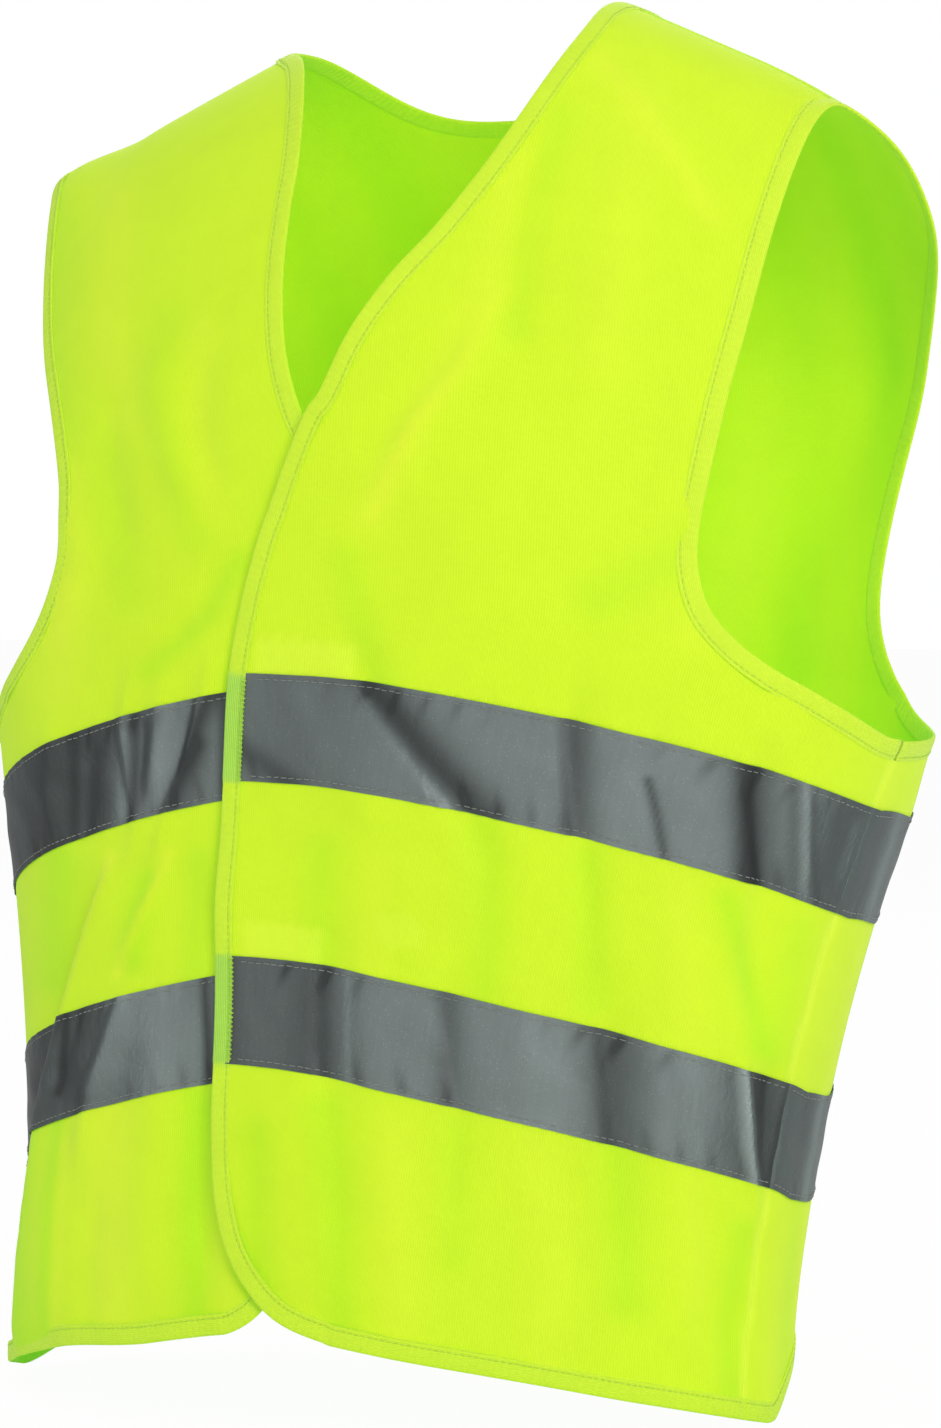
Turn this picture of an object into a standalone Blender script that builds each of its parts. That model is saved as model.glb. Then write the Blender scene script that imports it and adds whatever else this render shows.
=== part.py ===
"""High visibility vest: two lapped fronts, a back, tapes, bindings and hook-and-loop closures.

Metres, +Z up.  The front faces -Y, the wearer's left is +X and the lowest point is at z = 0.
The cloth lies on a smooth body surface described by an angle round the body (0 = centre front,
+90 = wearer's left side, 180 = centre back) and a height along the cloth above the hem.
The panels are 'L' and 'R' (the fronts) and 'B' (the back, whose angles run on past 180 degrees).
Each front has a flap that opens about a fold line; a flap's pieces share one origin there.
"""
import functools
import math

import bmesh
import bpy
import numpy as np
from mathutils import Vector
from mathutils.geometry import delaunay_2d_cdt

# ---------------------------------------------------------------- body (metres)
# widths and depths at the hem, the upper tape and the underarm
HALF_WIDTH_LEFT = (0.198, 0.215, 0.240)
HALF_WIDTH_RIGHT = (0.198, 0.214, 0.231)
DEPTH_FRONT = (0.150, 0.134, 0.136)
DEPTH_BACK = (0.125, 0.155, 0.166)
DEPTH_BLADES = 0.192                     # depth of the back over the shoulder blades
LEVEL_TAPE, LEVEL_ARM = 0.25, 0.34       # cloth heights of the second and third widths
BLADES_RISE = 0.16                       # height over which the underarm becomes the blades
SQUARENESS = (2.05, 2.45, 3.0)           # super-ellipse exponent: hem, chest, shoulder blades
LEVEL_CHEST = 0.3                        # height where the chest exponent is reached
HEM_SHIFT = -0.028                       # the hem hangs a little to the wearer's right
HEM_SHIFT_TOP = 0.35                     # height where that shift has died out

# how far the cloth sinks from the centre front round to the sides
SIDE_DROP_LEFT, SIDE_DROP_RIGHT, RIGHT_LOWER = 0.066, 0.078, 0.004
DROP_AT_HEM, DROP_FULL_HEIGHT = 0.84, 0.12   # share of the drop at the hem; height of all of it
DROP_SLOPE, DROP_BLEND = 0.4, 0.006      # straight share and roundness at the centre front
DROP_EASE_FROM, DROP_EASE = 0.8, 2.4     # the drop flattens from this share of a quarter turn
DROP_BACK_RETURN = 0.35                  # share of the drop regained at the centre back
HEM_LIFT = (0.005, 0.005)                # hem cut higher on the right: front quarter, side
HEM_LIFT_ANGLE = ((15, 20), (55, 30))    # start and length of each lift, degrees
HEM_LIFT_TOP = 0.11                      # height where the lift has died out

NECK_HALF = 0.086                        # neck point, half width
NECK_Z_LEFT, NECK_Z_RIGHT = 0.6145, 0.597    # neck point heights
SHOULDER_SLOPE = 0.43
SHOULDER_BEND_X, SHOULDER_BEND = 0.15, 2.0   # the shoulder curves down beyond this half width
RIDGE_Y = 0.014                          # the shoulder line lies a little behind the middle
SHOULDER_ROUND = 0.30                    # height over which the chest rounds into the shoulder
BLADES_ROUND_LESS = 0.10                 # the same height is this much less over the blades
TIP = {'L': 0.213, 'R': 0.222}           # shoulder tips, half width

# ---------------------------------------------------------------- cloth, tapes and closures
CLOTH = 0.0010                           # panel thickness (cloth plus seam fullness)
TAPE = 0.0004
TAPE_LIFT = 0.0013
TAPE_WIDTH = 0.050
TAPE_LEVELS = (0.118, 0.249)             # lower edges of the two tapes above the hem
TAPE_TRIM = 0.0005                       # a flap's tape stops this far short of the binding
BIND_WIDTH = 0.009
BIND_FACE, BIND_INSIDE = 0.0011, 0.0004  # binding's faces, measured outward from the cloth
BIND_FOLD = 0.00105                      # binding's outer edge beyond the cloth edge
LAP = 0.0042                             # how far the left front stands off under the lap
LAP_FADE_ANGLE = (11, 30.0)              # start and length of the fade, degrees
LAP_FADE_HEIGHT = (0.45, 0.11)           # start and length of the fade, up the cloth
GAP = 0.0002                             # half of each joint line between neighbouring pieces
FOLD_GAP = 1.25 * GAP
SEAM_ANGLE = (79.0, 89.0)                # side seam, at the hem and under the arm
UNDERARM = 0.330
SEAM_STRIP_HALF = 0.034                  # half width of the side seam strip, radians
PATCH_ANGLE = (-3.8, 3.8)                # closure patches, signed angle round the body
PATCH_HEIGHT, PATCH_ABOVE = 0.050, 0.016 # height, and how far they show above the tape

# fold lines along which each front opens: (x, z) top and bottom
FOLD = {'L': ((0.049, 0.50), (0.120, -0.02)),
        'R': ((-0.021, 0.440), (-0.118, -0.02))}
HINGE_CLEAR = 0.0030                     # hinge axis outside the highest point of the fold

# outlines: (angle towards that side in degrees, height)
FRONT_EDGE = {
    'L': [(60, 0.0), (40, 0.0), (25, 0.0), (12, 0.0), (3.5, 0.007), (-2.0, 0.027),
          (-5.5, 0.057), (-7.0, 0.092), (-7.3, 0.130), (-7.6, 0.190), (-7.3, 0.250),
          (-6.6, 0.302), (-4.6, 0.350), (-2.6, 0.380), (0.1, 0.425), (1.9, 0.455),
          (4.8, 0.483), (8.6, 0.510), (12.2, 0.542), (15.0, 0.575), (16.8, 0.606)],
    'R': [(60, 0.0), (40, 0.0), (25, 0.0), (12, 0.0), (2.0, 0.001), (-3.0, 0.018),
          (-6.0, 0.050), (-7.3, 0.090), (-7.5, 0.130), (-7.5, 0.190), (-7.5, 0.250),
          (-7.2, 0.302), (-5.4, 0.350), (-2.8, 0.385), (0.2, 0.412), (2.2, 0.436),
          (3.6, 0.460), (4.6, 0.490), (5.1, 0.520), (5.6, 0.548), (7.6, 0.578), (11.0, 0.600)]}
FRONT_ARM = {
    'L': [(84, 0.3295), (74, 0.3325), (64, 0.3365), (56, 0.3410), (49.5, 0.3490),
          (45.3, 0.3600), (43.4, 0.3760), (43.2, 0.3950), (44.2, 0.4200), (46.0, 0.4580),
          (48.0, 0.4960), (49.4, 0.5330), (50.6, 0.5680)],
    'R': [(84, 0.3300), (74, 0.3320), (66, 0.3345), (58, 0.3385), (50, 0.3450),
          (43, 0.3570), (38.5, 0.3740), (37.0, 0.3950), (38.5, 0.4260), (42.0, 0.4600),
          (46.0, 0.4960), (50.0, 0.5350), (55.0, 0.5680)]}
BACK_ARM = [(97, 0.3290), (107, 0.3287), (117, 0.3292), (125, 0.3315), (131, 0.3370),
            (136, 0.3470), (139.5, 0.3610), (141.8, 0.3800), (142.6, 0.4050), (142.3, 0.4350),
            (140.5, 0.4650), (136.2, 0.5000), (130.0, 0.5300), (121.0, 0.5620)]
ARM_END_ANGLE, ARM_END_DROP = 0.008, 0.0035  # last armhole point before the tip: radians, metres
BACK_NECK_DROP = 0.034                   # how far the back neck scoops below the neck points
BACK_HEM_RISE = 0.030                    # the back hem curves up behind the side seams by this
BACK_HEM_RAMP_LEFT = (8, 26)             # start and length past the seam, degrees
BACK_HEM_RAMP_RIGHT = (0, 24)

# ---------------------------------------------------------------- mesh spacing
STEP_ANGLE = 7.5                         # degrees between cloth columns
HEM_STEP, BACK_HEM_STEP = 0.026, 0.032   # spacing along the outlines
ARM_STEP, FRONT_NECK_STEP, BACK_NECK_STEP = 0.023, 0.023, 0.020
GRID_GAPS = (0.0085, 0.013)              # grid points keep clear of edges, of shoulder points
RIDGE_CLEAR = 0.004                      # and this far below the shoulder line
# rows of points under the shoulder line: (drop, clearance in the chart)
SHOULDER_ROWS = ((0.0010, 0.0004), (0.0042, 0.0018), (0.0115, 0.0018), (0.025, 0.0018))
CHART_RADIUS = 0.2

# cloth heights of the mesh rows
TAPE_ROWS = [level + k * TAPE_WIDTH / 2 for level in TAPE_LEVELS for k in (0, 1, 2)]
TAPE_BANDS = {'lower': TAPE_ROWS[:3], 'upper': TAPE_ROWS[3:]}
MIDDLE_ROWS = TAPE_ROWS[:3] + [0.195, 0.222] + TAPE_ROWS[3:]
STRIP_ROWS = [0.045, 0.082] + MIDDLE_ROWS
EDGE_ROWS = [0.0, BIND_WIDTH] + STRIP_ROWS
GRID_ROWS = [0.030, 0.060, 0.089] + MIDDLE_ROWS + [0.325, 0.355, 0.385, 0.415, 0.445,
                                                 0.475, 0.505, 0.535, 0.565]

SIGN = {'L': 1.0, 'R': -1.0}
WORD = {'L': 'left', 'R': 'right'}

MATERIALS = {                            # linear colour, roughness, metallic
    'cloth': ((0.600, 0.888, 0.020), 0.80, 0.0),
    'binding': ((0.500, 0.830, 0.030), 0.75, 0.0),
    'tape': ((0.150, 0.170, 0.168), 0.45, 0.25),
    'seam': ((0.680, 0.860, 0.030), 0.85, 0.0),
    'hook': ((0.560, 0.800, 0.060), 0.90, 0.0),
    'loop': ((0.560, 0.820, 0.080), 0.95, 0.0),
}


# ---------------------------------------------------------------- small helpers
def smooth(share):
    share = np.clip(share, 0.0, 1.0)
    return share * share * (3 - 2 * share)


def ramp(value, start, length):
    return smooth((value - start) / length)


def unit(vector):
    return vector / np.linalg.norm(vector)


def wrap(angle):
    """The same direction with angles past 180 degrees made negative."""
    return angle if angle <= math.pi else angle - 2 * math.pi


def unwrap(angle):
    """Angle on the back, running on past 180 degrees."""
    return angle if angle >= 0 else angle + 2 * math.pi


def bisect(low, high, is_low):
    """Value between low and high up to which is_low holds."""
    for _ in range(48):
        middle = 0.5 * (low + high)
        if is_low(middle):
            low = middle
        else:
            high = middle
    return low


# ---------------------------------------------------------------- the body surface
def through(height, widths):
    """Parabola through the three given widths, held level above the underarm."""
    tape, arm = LEVEL_TAPE, LEVEL_ARM
    level = np.clip(height, 0.0, arm)
    return (widths[0] * (level - tape) * (level - arm) / (tape * arm)
            + widths[1] * level * (level - arm) / (tape * (tape - arm))
            + widths[2] * level * (level - tape) / (arm * (arm - tape)))


def blades(height):
    """0 at the underarm, 1 at the shoulder blades."""
    return ramp(height, LEVEL_ARM, BLADES_RISE)


def back_depth(height):
    depth = through(height, DEPTH_BACK)
    return depth + (DEPTH_BLADES - depth) * blades(height)


def exponent(height, behind):
    """Super-ellipse exponent of the section."""
    hem, chest, top = SQUARENESS
    front = hem + (chest - hem) * np.clip(height / LEVEL_CHEST, 0, 1)
    return np.where(behind, front + (top - chest) * blades(height), front)


def rounding_height(height, behind):
    """Height over which the body rounds into the shoulder."""
    return np.where(behind, SHOULDER_ROUND - BLADES_ROUND_LESS * blades(height), SHOULDER_ROUND)


def rounded_turn(turn):
    """Quarter turns with the kink at the centre front rounded off."""
    bow = np.sqrt(turn * turn + DROP_BLEND) - DROP_BLEND ** 0.5
    return DROP_SLOPE * turn + (1 - DROP_SLOPE) * bow


def eased(turn):
    over = (turn - DROP_EASE_FROM) ** 2 / DROP_EASE
    return np.where(turn < DROP_EASE_FROM, turn, turn - over)


def side_drop(panel, angle, height):
    """How far the cloth sinks below its height along the centre front."""
    grow = DROP_AT_HEM + (1 - DROP_AT_HEM) * np.clip(height / DROP_FULL_HEIGHT, 0, 1)
    if panel == 'L':
        return SIDE_DROP_LEFT * eased(rounded_turn(angle / (np.pi / 2))) * grow
    degrees = np.degrees(np.abs(angle))
    lift = sum(rise * ramp(degrees, *span) for rise, span in zip(HEM_LIFT, HEM_LIFT_ANGLE))
    lift = lift * np.clip(1 - height / HEM_LIFT_TOP, 0, 1)
    if panel == 'R':
        turn = eased(rounded_turn(-angle / (np.pi / 2)))
        return (SIDE_DROP_RIGHT * turn + RIGHT_LOWER) * grow - lift
    turn = np.abs(angle) / (np.pi / 2)
    flat = rounded_turn(turn)
    flat = np.where(turn > 1, (flat - turn) + 1 - DROP_BACK_RETURN * smooth(turn - 1), flat)
    from_back = np.where(angle >= 0, np.pi - angle, -(np.pi + angle))
    left = smooth((from_back + np.pi / 2) / np.pi)
    right = 1 - left
    drop = eased(flat)
    return (left * SIDE_DROP_LEFT * drop
            + right * (SIDE_DROP_RIGHT * drop + RIGHT_LOWER)) * grow - right * lift


def ridge_z(panel, x):
    """Height of the shoulder line."""
    if panel == 'L':
        top = NECK_Z_LEFT
    elif panel == 'R':
        top = NECK_Z_RIGHT
    else:
        across = smooth((x + NECK_HALF) / (2 * NECK_HALF))
        top = NECK_Z_RIGHT + (NECK_Z_LEFT - NECK_Z_RIGHT) * across
    out = np.abs(x)
    bend = SHOULDER_BEND * np.clip(out - SHOULDER_BEND_X, 0, None) ** 2
    return top - SHOULDER_SLOPE * (out - NECK_HALF) - bend


def body(panel, angle, height):
    """Points on the body surface; arrays in, (n, 3) array out."""
    left = angle >= 0
    half_width = np.where(left, through(height, HALF_WIDTH_LEFT),
                          through(height, HALF_WIDTH_RIGHT))
    cosine, sine = np.cos(angle), np.abs(np.sin(angle))
    behind = cosine < 0
    power = 2 / exponent(height, behind)
    shift = HEM_SHIFT * np.clip(1 - height / HEM_SHIFT_TOP, 0, 1)
    x = np.where(left, 1, -1) * half_width * sine ** power + shift
    depth = np.where(cosine > 0, -through(height, DEPTH_FRONT), back_depth(height))
    y = depth * np.abs(cosine) ** power
    z = height - side_drop(panel, angle, height)
    below = np.clip((ridge_z(panel, x) - z) / rounding_height(height, behind), 0, 1)
    y = RIDGE_Y + (y - RIDGE_Y) * np.sqrt(1 - (1 - below) ** 2)
    return np.stack([x, y, z], -1)


def place_at(panel, angle, height):
    """One point on the body surface."""
    return body(panel, np.array([angle]), np.array([height]))[0]


class ClothPoint:
    """A cloth vertex: surface coordinates, place and outward unit normal."""
    __slots__ = ("angle", "height", "place", "normal")

    def __init__(self, angle, height, place, normal):
        self.angle = float(angle)
        self.height = float(height)
        self.place = np.array(place, float)
        self.normal = np.array(normal, float)

    def at(self, offset):
        return self.place + self.normal * offset


def cloth_point(panel, angle, height):
    signed = wrap(angle)
    ahead, behind = wrap(signed + 1e-3), signed - 1e-3
    if behind < -math.pi:
        behind += 2 * math.pi
    place = place_at(panel, signed, height)
    around = place_at(panel, ahead, height) - place_at(panel, behind, height)
    upward = place - place_at(panel, signed, height - 2e-4)
    normal = unit(np.cross(around, upward))
    if panel == 'L':
        # the left front stands off where it covers the right front
        fade = ((1 - ramp(np.degrees(signed), *LAP_FADE_ANGLE))
                * (1 - ramp(height, *LAP_FADE_HEIGHT)))
        place = place + normal * (LAP * fade)
    return ClothPoint(angle, height, place, normal)


def flat_depth(angle, height):
    """Signed depth the body would have without the rounding into the shoulder."""
    cosine = math.cos(angle)
    share = abs(cosine) ** (2 / float(exponent(height, cosine < 0)))
    if cosine < 0:
        return float(back_depth(height)) * share
    return -float(through(height, DEPTH_FRONT)) * share


def chart(panel, point):
    """Plane coordinates for laying out triangles: even over the chest and the shoulder."""
    angle = wrap(point.angle)
    x, y, z = point.place
    reach = float(rounding_height(point.height, math.cos(angle) < 0))
    below = (float(ridge_z(panel, x)) - z) / reach
    depth = flat_depth(angle, point.height) - RIDGE_Y
    side = (y - RIDGE_Y) / depth if abs(depth) > 1e-4 else 1.0
    if below >= 1.0:
        turn = math.pi / 2 + (below - 1.0)
    elif below > 0.6:
        turn = math.acos(1 - below)
    else:
        turn = math.atan2(max(min(side, 1.2), -0.05), 1 - below)
    return np.array([point.angle * CHART_RADIUS, -turn * CHART_RADIUS])


def angle_for_x(angle, height, x):
    """Signed angle on the same side of the body whose half width is |x|."""
    behind = math.cos(angle) < 0
    widths = HALF_WIDTH_LEFT if angle >= 0 else HALF_WIDTH_RIGHT
    share = abs(x) / float(through(height, widths))
    found = math.asin(min(1.0, share ** (float(exponent(height, behind)) / 2)))
    if behind:
        found = math.pi - found
    return math.copysign(found, angle)


@functools.lru_cache(maxsize=None)
def ridge_height(panel, angle):
    """Cloth height at which the panel meets the shoulder line."""
    def is_below(height):
        place = place_at(panel, angle, height)
        return float(ridge_z(panel, place[0])) > place[2]
    return bisect(0.3, 0.8, is_below)


def ridge_angle(panel, x):
    """Signed angle at which the panel meets the shoulder line at half width |x|."""
    sign = 1.0 if x >= 0 else -1.0
    is_front = panel in 'LR'
    low, high = (0.0, 89) if is_front else (91, 179.9)

    def is_low(angle):
        place = place_at(panel, sign * angle, ridge_height(panel, sign * angle))
        return (abs(place[0]) < abs(x)) == is_front
    return sign * bisect(math.radians(low), math.radians(high), is_low)


# ---------------------------------------------------------------- paths of (angle, height)
def catmull(points, per=14):
    """Catmull-Rom curve through the points, `per` samples to each span."""
    knots = [np.array(p, float) for p in points]
    knots = [2 * knots[0] - knots[1]] + knots + [2 * knots[-1] - knots[-2]]
    path = []
    for i in range(1, len(knots) - 2):
        before, start, end, after = knots[i - 1:i + 3]
        for k in range(per):
            t = k / per
            path.append(0.5 * ((2 * start) + (end - before) * t
                               + (2 * before - 5 * start + 4 * end - after) * t * t
                               + (3 * start - before - 3 * end + after) * t ** 3))
    path.append(knots[-2])
    return path


def path_lengths(panel, path):
    """The path as an array, and the length along it at each point."""
    table = np.array(path)
    angles = np.where(table[:, 0] > math.pi, table[:, 0] - 2 * math.pi, table[:, 0])
    places = body(panel, angles, table[:, 1])
    steps = np.linalg.norm(np.diff(places, axis=0), axis=1)
    return table, np.concatenate([[0], np.cumsum(steps)])


def path_at(table, lengths, stops):
    return [(float(np.interp(stop, lengths, table[:, 0])),
             float(np.interp(stop, lengths, table[:, 1]))) for stop in stops]


def spaced(panel, path, step, rows=()):
    """Resample a path at about `step` metres, with samples on the given heights."""
    table, lengths = path_lengths(panel, path)
    marks = [0.0, lengths[-1]]
    for row in rows:
        for i in range(len(table) - 1):
            start, end = table[i, 1] - row, table[i + 1, 1] - row
            if start * end < 0 or start == 0:
                share = start / (start - end) if start != end else 0
                marks.append(lengths[i] + (lengths[i + 1] - lengths[i]) * share)
    marks.sort()
    stops = []
    for start, end in zip(marks[:-1], marks[1:]):
        if end - start < 1e-6:
            continue
        count = max(1, int(math.ceil((end - start) / step - 0.2)))
        stops += [start + (end - start) * k / count for k in range(count)]
    stops.append(lengths[-1])
    return path_at(table, lengths, stops)


def spaced_evenly(panel, path, step):
    """Resample a path in equal steps of about `step` metres."""
    table, lengths = path_lengths(panel, path)
    count = max(2, int(round(lengths[-1] / step)))
    return path_at(table, lengths, [lengths[-1] * k / count for k in range(count + 1)])


def seam_angle(height):
    hem, arm = SEAM_ANGLE
    return math.radians(hem + (arm - hem) * (height / UNDERARM))


def fold_distance(side, place):
    """Distance in x from the fold line, positive towards the side seam."""
    (top_x, top_z), (low_x, low_z) = FOLD[side]
    fold_x = low_x + (top_x - low_x) * (place[2] - low_z) / (top_z - low_z)
    return SIGN[side] * (place[0] - fold_x)


def fold_angle(side, height):
    sign = SIGN[side]

    def is_low(angle):
        return fold_distance(side, place_at(side, sign * angle, height)) < 0
    return sign * bisect(math.radians(-20), math.radians(85), is_low)


def back_hem(angle):
    """Height of the back hem: it curves up behind each side seam, a little later on the left."""
    past_left = math.degrees(angle) - SEAM_ANGLE[0]
    past_right = 360 - SEAM_ANGLE[0] - math.degrees(angle)
    return float(BACK_HEM_RISE * ramp(past_left, *BACK_HEM_RAMP_LEFT)
                 * ramp(past_right, *BACK_HEM_RAMP_RIGHT))


# ---------------------------------------------------------------- lines of cloth points
def seam_line(panel, side, toward):
    """Side seam from the hem up to the underarm, moved off the seam towards the back (+1)
    or the front (-1)."""
    sign = SIGN[side]
    line = []
    for height in EDGE_ROWS + [UNDERARM - BIND_WIDTH, UNDERARM]:
        point = cloth_point(panel, sign * seam_angle(height), height)
        behind = cloth_point(panel, sign * (seam_angle(height) + 0.02), height)
        point.place = point.place + unit(behind.place - point.place) * GAP * toward
        if panel == 'B':
            point.angle = unwrap(point.angle)
        line.append(point)
    return line


def shoulder_line(panel, side):
    """Shoulder seam from the neck point to the tip."""
    tip = TIP[side]
    margin = 0.016
    middle = [x for x in np.linspace(NECK_HALF, tip, 7)[1:-1]
              if NECK_HALF + margin < x < tip - margin]
    gap = GAP if panel == 'B' else -GAP
    line = []
    for x in [NECK_HALF, NECK_HALF + BIND_WIDTH] + middle + [tip - BIND_WIDTH, tip]:
        angle = ridge_angle(panel, SIGN[side] * x)
        point = cloth_point(panel, angle, ridge_height(panel, angle) - 1e-6)
        point.place = point.place + np.array([0.0, gap, 0.0])
        point.normal = unit(np.array([SIGN[side] * SHOULDER_SLOPE, 0.0, 1.0]))
        if panel == 'B':
            point.angle = unwrap(point.angle)
        line.append(point)
    return line


def shoulder_rows(panel, side):
    """Extra mesh points just under the shoulder line: (cloth point, clearance)."""
    points = []
    for drop, clearance in SHOULDER_ROWS:
        for x in np.linspace(NECK_HALF + 0.02, TIP[side] - 0.018, 5):
            angle = ridge_angle(panel, SIGN[side] * x)
            height = ridge_height(panel, angle) - drop
            if panel == 'B':
                angle = unwrap(angle)
            points.append((cloth_point(panel, angle, height), clearance))
    return points


def inset_point(panel, point, across):
    """The cloth point one binding width away in the direction `across`."""
    angle, height = point.angle, point.height
    place = point.place + across * BIND_WIDTH
    if height > 0.5 and abs(point.normal[2]) > 0.6:
        # near the shoulder line the surface is too level to solve for the height
        return ClothPoint(angle_for_x(angle, height, place[0]), height, place, point.normal)
    tiny = 1e-4
    around = (place_at(panel, angle + tiny, height)
              - place_at(panel, angle - tiny, height)) / (2 * tiny)
    upward = (place_at(panel, angle, height) - place_at(panel, angle, height - tiny)) / tiny
    step = np.linalg.lstsq(np.stack([around, upward], 1), place - point.place, rcond=None)[0]
    return ClothPoint(angle + step[0], height + step[1], place, point.normal)


def bound_edge(panel, path, inside, first, last):
    """Cloth points of a bound edge and of the line one binding width inside it.
    inside = +1 when tangent x normal points into the cloth, -1 otherwise; first and last are
    the (edge, inset) points at the ends."""
    middle = [cloth_point(panel, wrap(angle), height) for angle, height in path[1:-1]]
    outer = [first[0]] + middle + [last[0]]
    inset = [first[1]]
    for before, point, after in zip(outer[:-2], middle, outer[2:]):
        tangent = unit(after.place - before.place)
        inset.append(inset_point(panel, point, unit(np.cross(tangent, point.normal) * inside)))
    inset.append(last[1])
    if panel == 'B':
        for point in outer[1:-1] + inset[1:-1]:
            point.angle = unwrap(point.angle)
    return outer, inset


def nearest(line, height):
    return min(line, key=lambda point: abs(point.height - height))


def shifted(point, toward, distance):
    place = point.place + unit(toward.place - point.place) * distance
    return ClothPoint(point.angle, point.height, place, point.normal)


# ---------------------------------------------------------------- solids
PIECES = []                              # (name, material, vertices, faces, group)


def solid(name, material, verts, faces, group="body"):
    PIECES.append((name, material, np.array(verts, float), faces, group))


def sheet(name, material, points, tris, low, high, group="body"):
    """Closed sheet between two offsets of the cloth surface."""
    count = len(points)
    verts = [p.at(high) for p in points] + [p.at(low) for p in points]
    faces = [tuple(tri) for tri in tris]
    faces += [tuple(count + i for i in reversed(tri)) for tri in tris]
    edges = [edge for tri in tris for edge in zip(tri, tri[1:] + tri[:1])]
    known = set(edges)
    faces += [(b, a, count + a, count + b) for a, b in edges if (b, a) not in known]
    solid(name, material, verts, faces, group)


def strip(name, material, rows, low, high, group="body"):
    """Sheet from rows of cloth points (each row the same length)."""
    width = len(rows[0])
    tris = []
    for i in range(len(rows) - 1):
        for j in range(width - 1):
            corner = i * width + j
            opposite = corner + width + 1
            tris += [(corner, corner + 1, opposite), (corner, opposite, corner + width)]
    sheet(name, material, [p for row in rows for p in row], tris, low, high, group)


# section of a binding: (which line it is measured from, offset along the normal)
BINDING_SECTION = [('inset', CLOTH + BIND_FACE), ('fold', CLOTH + BIND_FACE),
                   ('fold', -BIND_FACE), ('inset', -BIND_FACE),
                   ('inset', -BIND_INSIDE), ('edge', -BIND_INSIDE),
                   ('edge', CLOTH + BIND_INSIDE), ('inset', CLOTH + BIND_INSIDE)]


def binding(name, ring, group="body", closed=False):
    """Folded binding: a U section that holds the cloth edge with a small clearance."""
    verts = []
    for outer, inset in zip(*ring):
        across = unit(inset.place - outer.place)
        base = {'inset': inset.place,
                'fold': outer.place - across * BIND_FOLD,
                'edge': outer.place - across * BIND_INSIDE}
        verts += [base[line] + outer.normal * offset for line, offset in BINDING_SECTION]
    faces = []
    count, size = len(ring[0]), len(BINDING_SECTION)
    for i in range(count if closed else count - 1):
        here, there = i * size, (i + 1) % count * size
        for k in range(size):
            m = (k + 1) % size
            # the diagonal runs from the outer line here to the inset line at the next section
            leaves_inset = BINDING_SECTION[k][0] == 'inset' != BINDING_SECTION[m][0]
            if leaves_inset:
                faces += [(here + k, here + m, there + k), (here + m, there + m, there + k)]
            else:
                faces += [(here + k, there + m, there + k), (here + k, here + m, there + m)]
    if not closed:
        # end caps: outer leg, web and inner leg
        for quad in ((0, 1, 6, 7), (1, 2, 5, 6), (2, 3, 4, 5)):
            faces.append(quad[::-1])
            faces.append(tuple((count - 1) * size + k for k in quad))
    solid(name, 'binding', verts, faces, group)


# ---------------------------------------------------------------- panels
def inside_outline(spot, outline):
    """Whether a spot in the chart lies inside a closed outline."""
    x, y = spot[0], spot[1]
    start, end = outline, np.roll(outline, -1, axis=0)
    crosses = (start[:, 1] > y) != (end[:, 1] > y)
    with np.errstate(divide='ignore', invalid='ignore'):
        cross_x = ((end[:, 0] - start[:, 0]) * (y - start[:, 1])
                   / (end[:, 1] - start[:, 1]) + start[:, 0])
    return int(np.sum(crosses & (x < cross_x))) % 2 == 1


def grid_columns(panel):
    if panel != 'B':
        return [math.radians(-90 + STEP_ANGLE * k) for k in range(int(180 / STEP_ANGLE) + 1)]
    # one more column on each side of the centre back
    return sorted([math.radians(75 + STEP_ANGLE * k) for k in range(29)]
                  + [math.radians(180 + half) for half in (-STEP_ANGLE / 2, STEP_ANGLE / 2)])


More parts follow.
